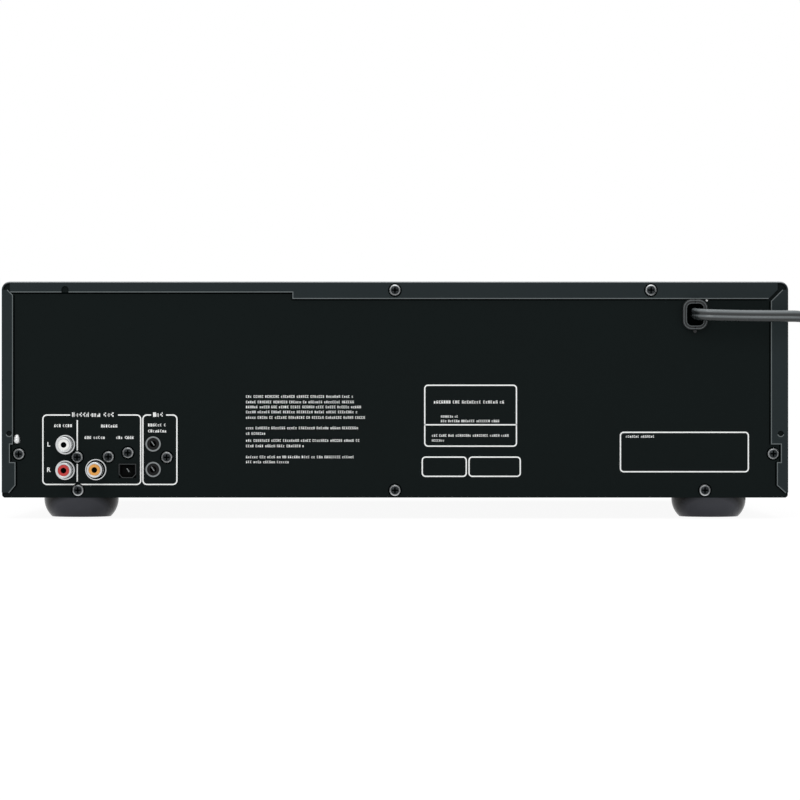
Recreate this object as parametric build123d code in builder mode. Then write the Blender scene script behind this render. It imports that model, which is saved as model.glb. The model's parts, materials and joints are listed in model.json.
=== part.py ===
"""A carousel disc changer: a sheet steel case with a sliding drawer that carries a turning tray of six
discs, a lift that raises the turntable and pickup to the disc, rear sockets and a fixed mains lead.

Millimetres. +Z is up, the controls face -Y, the rear panel faces +Y, and the origin is on the
surface it stands on, under the middle of the case.
"""

import os
from math import acos, asin, atan2, ceil, cos, degrees, hypot, pi, radians, sin, sqrt, tan

from build123d import *

os.makedirs("parts", exist_ok=True)

# Case
case_width = 435.0
case_height = 119.5
foot_height = 11.5
rear_room = 15.0
front_depth = 16.0
sheet = 1.0
sheet_gap = 0.3
bend_radius = 4.7
fold_radius = 0.8
cover_lift = 2.8
panel_lip_inset = 12.0
panel_lip_depth = 11.0
chassis_wall_height = 28.5
chassis_lip_height = 8.0
chassis_tab_width = 17.0

# Folded flaps of the cover, seen on the rear. Heights are measured from the case's bottom
flap_relief = 4.6
flap_deep = 9.6
flap_shallow = 6.0
flap_step_x = 56.4
flap_notch_inset = 35.1
flap_notch_width = 3.9
flap_notch_height = 3.5
mitre_gap = 1.3
side_notch_low = 19.4
side_notch_high = 29.7
side_slant = 6.9
side_end = 2.7
dimple_radius = 1.6
dimple_inset = 4.2
dimple_height = 35.4

# Screws
screw_radius = 1.5
screw_head_radius = 3.1
screw_head_height = 1.9
screw_length = 8.0
screw_clearance = 0.1
recess_depth = 1.1
recess_width = 0.9
recess_length = 3.4

# Fits
running_gap = 0.05
moving_gap = 0.3
button_gap = 0.25
press_gap = 0.02

# Feet: the front ones are smaller and stand further out
foot_top_radius = 20.9
foot_bottom_radius = 16.5
foot_recess_radius = 7.0
foot_side_inset = 40.6
foot_rear_inset = 45.0
front_foot_top_radius = 16.0
front_foot_bottom_radius = 12.6
front_foot_recess_radius = 5.5
front_foot_side_inset = 21.5
foot_front_inset = 53.0
foot_bulge = 1.2
foot_recess_depth = 6.0

# Front panel. Its door covers the tray's end, and the window ends beside the disc keys
front_wall = 3.0
front_edge_radius = 2.5
door_lap = 2.5
door_drop = 5.4
door_height = 34.8
door_gap = 0.6
door_thickness = 5.0
door_edge_radius = 0.6
grip_depth = 1.5
grip_height = 7.0
grip_width = 7.0
grip_inset = 143.0
window_inset = 125.5
window_key_gap = 12.0
window_height = 18.5
window_drop = 8.6
window_round = 2.0
window_gap = 0.15
window_rim = 3.0
window_flange = 1.5
display_margin = 6.0
display_gap = 2.0

# Buttons: the cap stands proud, its flange rests behind the wall. Drops are measured from the door
button_proud = 1.5
button_travel = 1.0
button_rim = 1.2
button_flange = 1.4
button_round = 1.0
button_edge_radius = 0.5
stem_radius = 1.6
board_back_gap = 11.0
power_radius = 7.0
power_inset = 27.5
power_drop = 22.6
key_width = 14.0
key_height = 7.0
key_pitch = 21.6
disc_row_inset = 25.5
disc_row_drop = 12.6
transport_shift = 6.0
transport_drop = 30.6
service_height = 16.5

# Knobs and headphone socket
level_inset = 57.5
level_radius = 8.0
level_depth = 11.0
level_line_width = 1.2
level_line_depth = 0.6
jog_inset = 39.5
jog_key_gap = 8.5
jog_height = 6.5
jog_depth = 13.5
jog_dimple_radius = 5.0
jog_dimple_depth = 1.2
dial_edge_radius = 1.2
dial_gap = 0.5
dial_shaft_radius = 3.0
dial_hole_gap = 0.2
phones_bore = 3.25
phones_nose_radius = 6.0
phones_proud = 0.6
phones_block = 15.0
phones_length = 30.0
phones_board_gap = 1.0
front_board_height = 8.0
front_board_drop = 4.1
front_board_side_gap = 8.0

# Rear sockets
phono_shell_radius = 4.25
phono_shell_bore = 3.15
phono_shell_chamfer = 0.25
phono_pin_bore = 1.6
phono_length = 12.0
phono_ring_radius = 5.35
coaxial_ring_radius = 5.8
phono_ring_depth = 0.8
phono_seat_depth = 7.0
insulator_recess = 0.4
insulator_floor = 1.0
optical_width = 9.5
optical_height = 7.8
optical_corner = 2.0
optical_cavity_width = 7.0
optical_cavity_height = 6.2
optical_cavity_depth = 10.0
optical_proud = 0.8
optical_block_half = 6.2
optical_block_extra = 4.0
shutter_thickness = 0.9
shutter_side_gap = 0.2
shutter_low_gap = 0.25
shutter_top_gap = 0.15
shutter_setback = 1.2
remote_bore = 1.8
remote_nose_radius = 3.5
remote_ring_radius = 4.25
remote_ring_depth = 0.7
remote_length = 14.0
remote_block_half = 8.1
jack_block_depth = 14.0
board_height = 10.1
board_thickness = 1.6

# Mains lead, a flat twin, and its bushing
cord_width = 6.4
cord_thickness = 3.6
bushing_inset = 51.6
bushing_drop = 18.3
bushing_width = 14.0
bushing_height = 17.0
bushing_round = 5.0
bushing_proud = 3.6
bushing_edge_radius = 0.9
bushing_lip = 1.9
bushing_mouth_wall = 0.5
bushing_floor = 1.0
bushing_grip = 9.0
bushing_seam = 0.5
bushing_nib_radius = 1.0
bushing_nib_drop = 0.6
bushing_nib_depth = 1.2
coil_x = -328.0
coil_y = -15.0
coil_radius = 41.0
coil_half_turns = 5
coil_turn_gap = 0.7
coil_layer_gap = 0.8
floor_gap = 0.55
plug_length = 28.0
plug_thickness = 15.0
plug_neck_length = 16.0
blade_length = 17.0
blade_width = 6.3
blade_thickness = 1.5
blade_pitch = 12.7
tie_width = 5.0
tie_thickness = 0.5

# Carousel drawer. The tray hangs below the case's top, and the carousel fills it
tray_drop = 43.0
tray_height = 16.0
tray_floor = 2.5
tray_wall = 2.5
tray_end_wall = 3.0
well_wall = 3.5
carousel_y = -4.0
carousel_gap = 3.0
carousel_plate = 2.5
pocket_radius = 61.5
pocket_rim = 2.0
pocket_web = 0.5
pocket_depth = 4.5
small_pocket_radius = 41.0
small_pocket_depth = 1.0
slot_half_width = 20.0
slot_inner = 70.0
slot_outer = 20.0
slot_round = 3.0
hub_radius = 20.0
hub_bore = 8.05
hub_lift = 0.5
hub_shoulder_radius = 12.0
hub_cap_radius = 34.0
hub_cap_height = 2.0
hub_cap_chamfer = 1.0
post_height = 13.0
finger_radius = 13.0
rail_width = 6.0
rail_height = 4.0
rail_thickness = 2.4
ring_gear_inset = 8.0
ring_gear_module = 2.0
ring_gear_web = 8.0
ring_gear_height = 5.0
carousel_gear_teeth = 12
carousel_gear_angle = -45.0
carousel_gear_gap = 0.4
carousel_lift = 1.0
gear_well_gap = 2.0
gear_well_height = 9.0
motor_can_radius = 11.0
motor_can_height = 7.4
motor_flange_radius = 14.0
motor_flange = 0.8
motor_shaft_radius = 1.5
drawer_travel = 250.0

# The tray's window for the lift, measured from the play position's axis
window_half_x = 40.0
window_front = 84.5
window_rear = 25.5
window_corner = 4.0

# Gears
pressure_angle = radians(20.0)
addendum = 0.8
dedendum = 1.05
backlash = 0.25

# Drawer drive. Heights are measured down from the tray's bottom
rack_inset = 24.5
rack_height = 3.7
rack_front_run = 20.0
rack_rear_run = 6.0
rack_web = 6.0
drawer_gear_inset = 32.0
drawer_gear_module = 1.5
drawer_gear_teeth = 20
wheel_module = 1.0
wheel_teeth = 60
wheel_drop = 10.0
wheel_height = 3.5
pinion_height = 3.4
pinion_gap = 0.1
pulley_teeth = 12
pulley_radius = 16.0
pulley_drop = 14.0
pulley_height = 3.0
groove_depth = 1.6
groove_height = 2.0
belt_gap = 0.2
belt_thickness = 1.2
belt_height = 1.6
motor_distance = 46.0
motor_pulley_radius = 6.0
loading_can_radius = 12.0
loading_can_height = 22.0
gear_post_radius = 2.0
gear_post_drop = 1.0
gear_shoulder_radius = 4.0
gear_boss = 4.0
pulley_post_radius = 1.5
pulley_shoulder_radius = 2.6

# Mechanism frame: it stands inside the case, and the drawer runs inside it
frame_side_gap = 9.2
frame_wall = 3.0
frame_height = 14.0
frame_front_inset = 16.0
frame_rear_reach = 2.0
rail_end_gap = 2.5
rail_side_gap = 2.0
rail_gap = 0.4
groove_lap = 4.0
rail_block_drop = 1.0
rail_block_height = 12.0
rail_rear_inset = 6.0
shelf_drop = 19.0
shelf_thickness = 3.0
shelf_depth = 72.0
shelf_lap = 2.0
deck_drop = 44.0
web_x = 86.0
web_thickness = 4.0
beam_gap = 2.5
beam_thickness = 4.0
rib_thickness = 1.0
rib_height = 3.5
guide_radius = 3.0
guide_drop = 8.0
bridge_half_depth = 22.0
bridge_gap = 3.0
bridge_thickness = 2.0
bridge_flange = 5.0

# Lift, cam and pickup. Lengthways they are measured from the play position's axis, fronts forwards and
# rears backwards, and upwards from the frame's low deck or the pickup deck
lift_travel = 19.0
cam_travel = 38.0
cam_x = 66.0
cam_thickness = 3.0
cam_lift = 0.5
cam_drop = 11.0
cam_front = 106.5
cam_rear = 13.5
cam_slot_half = 1.75
cam_inset = 2.0
pin_height = 9.0
pin_front = 60.5
pin_rear = 5.5
pin_radius = 1.5
pin_reach = 0.6
pin_root = 2.0
lift_height = 6.0
lift_thickness = 6.0
lift_half_x = 62.0
lift_bar = 8.0
lift_front = 90.5
lift_rear = 35.5
lift_post_radius = 2.5
lift_post_side = 3.0
lift_post_inset = 7.0
ear_radius = 7.0
ear_gap = 0.15
ear_reach = 4.0
guide_front = 100.5
guide_rear = 45.5
deck_height = 18.0
deck_thickness = 3.0
deck_half_x = 60.0
deck_front = 87.5
deck_rear = 32.5
deck_slot_half = 8.0
deck_slot_front = 6.0
deck_slot_rear = 7.0
deck_corner = 3.0
seat_drop = 4.0
turntable_radius = 15.0
turntable_thickness = 4.5
spindle_cone_radius = 7.3
spindle_cone_height = 3.4
spindle_cone_chamfer = 2.0
spindle_motor_radius = 10.5
spindle_motor_height = 13.0
shaft_radius = 1.0
shaft_drop = 1.0
inner_track = 24.0
outer_track = 58.0
pickup_half_x = 16.0
pickup_half_y = 10.0
pickup_gap = 0.8
pickup_drop = 5.0
pickup_corner = 1.5
lens_radius = 4.0
lens_rim = 2.5
lens_rim_height = 1.2
lens_round = 1.0
lens_drop = 1.5
rod_x = 13.0
rod_height = 6.5
rod_radius = 1.5
rod_gap = 0.15
rod_front = 76.5
rod_rear = -7.5
rod_block = 6.0
rod_block_depth = 4.0
rod_block_height = 8.5
sled_module = 1.0
sled_teeth = 16
sled_gear_front = 22.5
sled_gear_lift = 9.0
sled_gear_height = 2.4
sled_pin_radius = 1.0
sled_pin_reach = 0.6
sled_shoulder_radius = 2.2
sled_rack_x = 20.0
sled_rack_lap = 1.0
sled_rack_inset = 3.0
sled_rack_run = 8.0

# Clamper
clamper_radius = 17.0
clamper_gap = 1.6
clamper_flange = 4.4
clamper_neck_gap = 0.3
clamper_hole_radius = 12.0
clamper_cap_radius = 15.0
clamper_cap_height = 1.6
clamper_cap_gap = 0.4
clamper_recess_radius = 8.6
clamper_skin = 0.8

# Power supply and boards
transformer_inset = 67.5
transformer_setback = 85.0
transformer_width = 60.0
transformer_depth = 36.0
transformer_height = 46.0
core_limb = 10.0
core_depth = 22.0
tab_thickness = 1.5
tab_reach = 7.0
tab_inset = 3.0
winding_round = 4.0
board_width = 100.0
board_length = 146.0
board_side_gap = 1.0
board_rear_gap = 2.0
board_post_inset = 6.0
board_post_rear_inset = 26.0
standoff_radius = 3.5
vent_pitch = 9.0
vent_columns = 9
vent_length = 40.0
vent_width = 3.0
vent_front_inset = 83.0
transformer_vent_reach = 90.0
board_vent_reach = 56.0

# Heights, from the case's bottom and top
half_width = case_width / 2
case_bottom = foot_height
case_top = case_bottom + case_height
cover_bottom = case_bottom + cover_lift
plate_top = case_bottom + sheet
board_top = case_bottom + board_height
jack_block_top = case_bottom + 36.0
beam_low = jack_block_top + beam_gap
tray_bottom = case_top - tray_drop
tray_deck = tray_bottom + tray_height
tray_top_of_floor = tray_bottom + tray_floor
rail_bottom = tray_bottom + rail_height
carousel_bottom = tray_top_of_floor + carousel_lift + ring_gear_height
pocket_floor = carousel_bottom + carousel_plate
carousel_top = pocket_floor + pocket_depth
frame_top = tray_bottom + frame_height
front_shelf = tray_bottom - shelf_drop
shelf_top = front_shelf + shelf_thickness
deck_base = tray_bottom - deck_drop
deck_top = deck_base + frame_wall
rail_block_low = tray_bottom - rail_block_drop
wheel_low = tray_bottom - wheel_drop
pulley_low = tray_bottom - pulley_drop
pinion_low = tray_bottom - rack_height - pinion_gap
guide_top = tray_bottom - guide_drop
door_low = tray_bottom - door_drop
door_high = door_low + door_height
seat_z = tray_bottom - seat_drop
clamper_low = seat_z + lift_travel + clamper_gap
clamper_top = clamper_low + clamper_flange
bridge_bottom = clamper_top + bridge_gap
cam_bottom = deck_top + cam_lift
cam_top = tray_bottom - cam_drop
pin_z = deck_base + pin_height
lift_bottom = deck_base + lift_height
lift_top = lift_bottom + lift_thickness
deck_bottom = deck_base + deck_height
deck_top_z = deck_bottom + deck_thickness
rod_z = deck_bottom + rod_height
sled_gear_z = deck_bottom + sled_gear_lift
pickup_bottom = deck_top_z + pickup_gap
pickup_top = seat_z - pickup_drop
lens_top = seat_z - lens_drop

# Widths, from the case inwards to the carousel's pockets
inner_half_width = half_width - sheet - sheet_gap
frame_half_width = inner_half_width - sheet - frame_side_gap
tray_half_width = frame_half_width - frame_wall - rail_end_gap - rail_width
rail_inner = tray_half_width + rail_side_gap
door_half_width = tray_half_width + rail_width + door_lap
well_radius = tray_half_width - well_wall
carousel_radius = well_radius - carousel_gap
pocket_circle = carousel_radius - pocket_rim - pocket_radius
pocket_count = int(180 / degrees(asin((pocket_radius + pocket_web) / pocket_circle)))
ring_gear_teeth = round(2 * (carousel_radius - ring_gear_inset) / ring_gear_module)
ring_gear_radius = ring_gear_module * ring_gear_teeth / 2

# Lengths, from the carousel outwards to the case's ends
tray_front = carousel_y - well_radius - tray_end_wall
tray_rear = carousel_y + well_radius + tray_end_wall
front_y = tray_front - door_thickness
panel_y = tray_rear + rear_room
cover_rear = panel_y + sheet
cover_front = front_y + front_depth
chassis_rear = panel_y - sheet
wall_back = front_y + front_wall
board_face = wall_back + board_back_gap
frame_front = tray_front + frame_front_inset
frame_rear = tray_rear + frame_rear_reach
rail_rear = frame_rear - rail_rear_inset
front_shelf_rear = frame_front + shelf_depth
seat_y = carousel_y + pocket_circle
lens_y = seat_y - inner_track
pickup_travel = outer_track - inner_track
window_front_y = seat_y - window_front
window_rear_y = seat_y + window_rear
guide_front_y = seat_y - guide_front
guide_rear_y = seat_y + guide_rear
cam_front_y = seat_y - cam_front
cam_rear_y = seat_y + cam_rear
pin_front_y = seat_y - pin_front
pin_rear_y = seat_y + pin_rear
lift_front_y = seat_y - lift_front
lift_rear_y = seat_y + lift_rear
deck_front_y = seat_y - deck_front
deck_rear_y = seat_y + deck_rear
rod_front_y = seat_y - rod_front
rod_rear_y = seat_y + rod_rear

# Gears, each in mesh with its neighbour
carousel_gear_radius = ring_gear_module * carousel_gear_teeth / 2
carousel_gear_reach = ring_gear_radius + carousel_gear_radius
carousel_gear_x = carousel_gear_reach * cos(radians(carousel_gear_angle))
carousel_gear_y = carousel_y + carousel_gear_reach * sin(radians(carousel_gear_angle))
rack_x = -tray_half_width + rack_inset
drawer_gear_x = rack_x + drawer_gear_module * drawer_gear_teeth / 2
drawer_gear_y = frame_front + drawer_gear_inset
pulley_x = drawer_gear_x + wheel_module * (wheel_teeth + pulley_teeth) / 2
loading_motor_x = pulley_x + motor_distance
sled_gear_x = sled_rack_x + sled_module * sled_teeth / 2
sled_gear_y = seat_y - sled_gear_front
rack_front = drawer_gear_y - rack_front_run
rack_rear = drawer_gear_y + drawer_travel + rack_rear_run
sled_rack_rear = sled_gear_y + pickup_travel + sled_rack_run

# Power supply and main board
transformer_x = transformer_inset - half_width
transformer_y = panel_y - transformer_setback
board_right = frame_half_width - frame_wall - board_side_gap
board_left = board_right - board_width
board_rear = chassis_rear - board_rear_gap
board_front = board_rear - board_length

# Controls on the front
disc_row_x = half_width - disc_row_inset - (pocket_count - 1) * key_pitch
disc_row_z = door_low - disc_row_drop
transport_x = disc_row_x + transport_shift
transport_z = door_low - transport_drop
service_z = case_bottom + service_height
power_at = (power_inset - half_width, door_low - power_drop)
phones_x = power_inset - half_width
level_x = level_inset - half_width
jog_x = half_width - jog_inset
jog_low = case_bottom + jog_height
jog_radius = (disc_row_z - key_height / 2 - jog_key_gap - jog_low) / 2
jog_z = jog_low + jog_radius
window_left = window_inset - half_width
window_right = disc_row_x - window_key_gap
window_low = case_bottom + window_height
window_high = door_low - window_drop


def on_left(inset, height):
    """A place on the rear, measured in from the case's side at +X and up from its bottom."""
    return (half_width - inset, case_bottom + height)


def on_right(inset, height):
    """A place on the rear, measured in from the case's side at -X and up from its bottom."""
    return (inset - half_width, case_bottom + height)


# Sockets and screws on the rear
phono_left = on_left(35.2, 29.3)
phono_right = on_left(35.1, 15.2)
phono_coaxial = on_left(52.1, 15.5)
optical_x, optical_z = on_left(69.6, 14.8)
remote_high = on_left(83.8, 29.7)
remote_low = on_left(83.8, 15.6)
bushing_x = bushing_inset - half_width
bushing_z = case_top - bushing_drop
cover_screws = [(0.0, case_top - 4.8), (76.0 - half_width, case_top - 4.8)]
panel_screws = [
    on_left(9.5, 24.1),
    on_right(8.3, 24.3),
    on_left(42.2, 4.1),
    (0.0, case_bottom + 4.1),
    on_right(46.1, 4.1),
]
socket_screws = [
    on_left(41.8, 22.4),
    on_left(59.0, 22.6),
    on_left(69.8, 24.8),
    on_left(91.3, 22.3),
]


def rear_plane(y):
    """A vertical sketch plane at this y: x runs along +X, y along +Z, and it extrudes towards -Y."""
    return Plane.XZ.offset(-y)


def front_plane(y):
    """The same plane for things that are drilled or grown backwards: it extrudes towards +Y."""
    return Plane(origin=(0, y, 0), x_dir=(-1, 0, 0), z_dir=(0, 1, 0))


def channel_outline(half, top, bottom, radius):
    """A rectangle with rounded top corners."""
    with BuildSketch() as outline:
        with Locations((0, top)):
            Rectangle(2 * half, top - bottom, align=(Align.CENTER, Align.MAX))
        fillet(outline.vertices().group_by(Axis.Y)[-1], radius)
    return outline.sketch


def polygon(points):
    """A face bounded by straight lines through the points."""
    with BuildSketch() as face:
        with BuildLine():
            Polyline(*points, close=True)
        make_face()
    return face.sketch


def involute(angle):
    """How far an involute has turned where its pressure angle has this value."""
    return tan(angle) - angle


def gear_outline(module, teeth, phase=0.0):
    """A spur gear's outline. Teeth are centred at phase and every 360/teeth degrees from there."""
    pitch = module * teeth / 2
    base = pitch * cos(pressure_angle)
    root = pitch - dedendum * module
    tip = pitch + addendum * module
    half_tooth = (pi * module / 2 - backlash / 2) / (2 * pitch) + involute(pressure_angle)
    flank = [root, pitch, tip]
    points = []
    for tooth in range(teeth):
        middle = radians(phase) + 2 * pi * tooth / teeth
        for side, radii in ((-1, flank), (1, flank[::-1])):
            for radius in radii:
                half = half_tooth - involute(acos(base / max(radius, base)))
                angle = middle + side * half
                points.append((radius * cos(angle), radius * sin(angle)))
    return polygon(points)


def rack_outline(module, line_x, back_x, start, end, gap_y):
    """A rack along y whose teeth point to +X. A gap is centred at gap_y, where its gear stands."""
    pitch = pi * module
    quarter = pitch / 4 - backlash / 4
    slope = tan(pressure_angle)
    tip = addendum * module
    root = -dedendum * module
    points = [(back_x, end), (back_x, start), (line_x + root, start)]
    first = ceil((start + pitch / 2 - gap_y) / pitch - 0.5)
    last = int((end - pitch / 2 - gap_y) / pitch - 0.5)
    for count in range(first, last + 1):
        middle = gap_y + (count + 0.5) * pitch
        for side, heights in ((-1, (root, tip)), (1, (tip, root))):
            for height in heights:
                points.append((line_x + height, middle + side * (quarter - height * slope)))
    points.append((line_x + root, end))
    return polygon(points)


# The cover: one folded sheet over the top and both sides, with flaps that overlap the rear panel
cover_outline = channel_outline(half_width, case_top, cover_bottom, bend_radius)
cover_inside = channel_outline(half_width - sheet, case_top - sheet, cover_bottom - sheet,
                               bend_radius - sheet)
top_flap = polygon([
    (half_width - flap_relief, case_top),
    (half_width - flap_relief, case_top - flap_shallow),
    (flap_step_x, case_top - flap_shallow),
    (flap_step_x, case_top - flap_deep),
    (-half_width + flap_deep + mitre_gap, case_top - flap_deep),
    (-half_width + flap_relief + mitre_gap, case_top - flap_relief),
    (-half_width + flap_relief + mitre_gap, case_top),
])


def side_flap(side, wide, notch, tab, end):
    """The flap along one side. The four widths are those of its upper part, notch, tab and end."""
    start = case_top - flap_relief
    blunt = flap_relief - mitre_gap
    outline = [
        (0, start),
        (blunt, start),
        (wide, start - wide + blunt),
        (wide, case_bottom + side_notch_high),
        (notch, case_bottom + side_notch_high),
        (notch, case_bottom + side_notch_low),
        (tab, case_bottom + side_notch_low),
        (tab, case_bottom + side_slant),
        (end, case_bottom + side_end),
        (0, case_bottom + side_end),
    ]
    return polygon([(side * (half_width - inset), z) for inset, z in outline])


left_flap = side_flap(1, 6.3, 4.6, 7.7, 4.2)
right_flap = side_flap(-1, 9.6, 4.1, 6.3, 1.6)

with BuildPart() as top_cover:
    with BuildSketch(rear_plane(cover_rear)):
        add(cover_outline)
        add(cover_inside, mode=Mode.SUBTRACT)
    extrude(amount=cover_rear - cover_front)
    with BuildSketch(rear_plane(cover_rear)):
        add([top_flap, left_flap, right_flap])
        with Locations((half_width - flap_notch_inset, case_top - flap_shallow)):
            SlotCenterToCenter(2 * flap_notch_height - flap_notch_width, flap_notch_width,
                               rotation=90, mode=Mode.SUBTRACT)
        with Locations(*cover_screws):
            Circle(screw_radius + screw_clearance, mode=Mode.SUBTRACT)
        with Locations(on_left(dimple_inset, dimple_height), on_right(dimple_inset, dimple_height)):
            Circle(dimple_radius, mode=Mode.SUBTRACT)
        add(cover_outline, mode=Mode.INTERSECT)
    extrude(amount=sheet)
    rear_edges = top_cover.edges().filter_by_position(Axis.Y, cover_rear - 0.01, cover_rear + 0.01)
    folds = rear_edges.filter_by_position(Axis.Z, case_top - 0.01, case_top + 0.01)
    for side in (-1, 1):
        at = side * half_width
        folds = folds + rear_edges.filter_by_position(Axis.X, at - 0.01, at + 0.01)
    fillet(folds.filter_by(GeomType.LINE), fold_radius)
top_cover.part.label = "top_cover"
export_step(top_cover.part, "parts/top_cover.step")

# The rear panel, with a lip folded forwards along its top
panel_top = case_top - sheet - sheet_gap
bushing_at = (bushing_x, bushing_z)
with BuildPart() as rear_panel:
    with BuildSketch(rear_plane(panel_y)):
        add(channel_outline(inner_half_width, panel_top, case_bottom, bend_radius - sheet - sheet_gap))
        with Locations(phono_left, phono_right, phono_coaxial):
            Circle(phono_shell_radius + moving_gap, mode=Mode.SUBTRACT)
        with Locations((optical_x, optical_z)):
            Rectangle(optical_width + 2 * press_gap, optical_height + 2 * press_gap, mode=Mode.SUBTRACT)
        with Locations(remote_high, remote_low):
            Circle(remote_nose_radius + press_gap, mode=Mode.SUBTRACT)
        with Locations(*cover_screws, *panel_screws, *socket_screws):
            Circle(screw_radius + screw_clearance, mode=Mode.SUBTRACT)
        with Locations(bushing_at):
            RectangleRounded(bushing_width - 2 * bushing_lip, bushing_height - 2 * bushing_lip,
                             bushing_round - bushing_lip, mode=Mode.SUBTRACT)
    extrude(amount=sheet)
    with BuildSketch(Plane.XY.offset(panel_top - sheet)):
        with Locations((0, panel_y)):
            Rectangle(2 * (inner_half_width - panel_lip_inset), panel_lip_depth,
                      align=(Align.CENTER, Align.MAX))
    extrude(amount=sheet)
rear_panel.part.label = "rear_panel"
export_step(rear_panel.part, "parts/rear_panel.step")

# The chassis: a pan with rounded lower edges, side walls inside the cover and a rear lip
board_posts = [
    (x, y)
    for x in (board_left + board_post_inset, board_right - board_post_inset)
    for y in (board_front + board_post_inset, board_rear - board_post_rear_inset)
]
vents_at = [
    (transformer_x, transformer_y - transformer_vent_reach),
    (0, front_y + vent_front_inset),
    (-transformer_x, board_front - board_vent_reach),
]
with BuildPart() as bottom_chassis:
    with BuildSketch(rear_plane(chassis_rear)) as pan:
        with Locations((0, case_bottom)):
            Rectangle(2 * inner_half_width, chassis_wall_height, align=(Align.CENTER, Align.MIN))
        fillet(pan.vertices().group_by(Axis.Y)[0], bend_radius - sheet)
        with Locations((0, plate_top)):
            Rectangle(2 * (inner_half_width - sheet), chassis_wall_height,
                      align=(Align.CENTER, Align.MIN), mode=Mode.SUBTRACT)
    extrude(amount=chassis_rear - cover_front - sheet_gap)
    with BuildSketch(rear_plane(chassis_rear)):
        with Locations((0, plate_top - sheet / 2)):
            Rectangle(2 * inner_half_width - bend_radius, chassis_lip_height,
                      align=(Align.CENTER, Align.MIN))
        for side in (-1, 1):
            with Locations((side * (inner_half_width - chassis_tab_width / 2),
                            case_bottom + chassis_lip_height)):
                Rectangle(chassis_tab_width, chassis_wall_height - chassis_lip_height,
                          align=(Align.CENTER, Align.MIN))
        with Locations(*panel_screws):
            Circle(screw_radius + screw_clearance, mode=Mode.SUBTRACT)
    extrude(amount=sheet)
    with BuildSketch(Plane.XY.offset(plate_top)):
        with Locations(*board_posts):
            Circle(standoff_radius)
    extrude(amount=board_top - board_thickness - plate_top)
    with BuildSketch(Plane.XY.offset(case_bottom)):
        with Locations(*vents_at):
            with GridLocations(vent_pitch, vent_length + vent_pitch, vent_columns, 2):
                SlotOverall(vent_length, vent_width, rotation=90)
    extrude(amount=sheet, mode=Mode.SUBTRACT)
bottom_chassis.part.label = "bottom_chassis"
export_step(bottom_chassis.part, "parts/bottom_chassis.step")



def foot(top, bottom, recess):
    """A round moulded pad, hollow in the middle for its fixing screw, by its three radii."""
    with BuildPart() as pad:
        with BuildSketch(Plane.XZ):
            with BuildLine():
                Line((recess, 0), (bottom, 0))
                ThreePointArc((bottom, 0), ((bottom + top) / 2 + foot_bulge, foot_height * 0.42),
                              (top, foot_height))
                Polyline((top, foot_height), (0, foot_height), (0, foot_recess_depth),
                         (recess, foot_recess_depth), (recess, 0))
            make_face()
        revolve(axis=Axis.Z)
    return pad.part


rear_foot = foot(foot_top_radius, foot_bottom_radius, foot_recess_radius)
front_foot = foot(front_foot_top_radius, front_foot_bottom_radius, front_foot_recess_radius)
rear_foot_x = half_width - foot_side_inset
front_foot_x = half_width - front_foot_side_inset
with BuildPart() as feet:
    with Locations((-rear_foot_x, panel_y - foot_rear_inset), (rear_foot_x, panel_y - foot_rear_inset)):
        add(rear_foot, clean=False)
    with Locations((-front_foot_x, front_y + foot_front_inset), (front_foot_x, front_y + foot_front_inset)):
        add(front_foot, clean=False)
feet.part.label = "feet"
export_step(feet.part, "parts/feet.step")

# Pan-head screws with a cross recess: two in the cover, the rest in the rear panel and the sockets
with BuildPart() as screw:
    with BuildSketch(Plane.XZ):
        with BuildLine():
            Polyline((0, -screw_length), (screw_radius, -screw_length), (screw_radius, 0),
                     (screw_head_radius, 0), (screw_head_radius, screw_head_height * 0.35))
            ThreePointArc((screw_head_radius, screw_head_height * 0.35),
                          (screw_head_radius * 0.72, screw_head_height * 0.86),
                          (0, screw_head_height))
            Polyline((0, screw_head_height), (0, -screw_length))
        make_face()
    revolve(axis=Axis.Z)
    with BuildSketch(Plane.XY.offset(screw_head_height - recess_depth)):
        Rectangle(recess_length, recess_width)
        Rectangle(recess_width, recess_length)
    extrude(amount=screw_head_height, mode=Mode.SUBTRACT)


def screws_at(y, places):
    """Screws driven forwards into the rear, with their heads against the face at this y."""
    return [Plane(origin=(x, y, z), x_dir=(1, 0, 0), z_dir=(0, 1, 0)).location for x, z in places]


with BuildPart() as case_screws:
    with Locations(*screws_at(cover_rear, cover_screws), *screws_at(panel_y, panel_screws + socket_screws)):
        add(screw.part, clean=False)
case_screws.part.label = "case_screws"
export_step(case_screws.part, "parts/case_screws.step")

# Rear sockets. The blocks stand on the main board behind the panel
phono_block = (half_width - 45.0, half_width - 29.0, jack_block_top)
coaxial_block = (half_width - 62.3, half_width - 45.7, case_bottom + 27.0)
phono_places = [phono_left, phono_right, phono_coaxial]
with BuildPart() as rca_housings:
    with BuildSketch(rear_plane(chassis_rear)):
        for low_x, high_x, top in (phono_block, coaxial_block):
            with Locations(((low_x + high_x) / 2, board_top)):
                Rectangle(high_x - low_x, top - board_top, align=(Align.CENTER, Align.MIN))
    extrude(amount=jack_block_depth)
    with BuildSketch(rear_plane(chassis_rear)):
        with Locations(*phono_places):
            Circle(phono_shell_radius)
    extrude(amount=phono_seat_depth, mode=Mode.SUBTRACT)
    with BuildSketch(rear_plane(chassis_rear)):
        with Locations(*socket_screws[:2]):
            Circle(screw_radius + press_gap)
    extrude(amount=screw_length, mode=Mode.SUBTRACT)
rca_housings.part.label = "rca_housings"
export_step(rca_housings.part, "parts/rca_housings.step")

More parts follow.
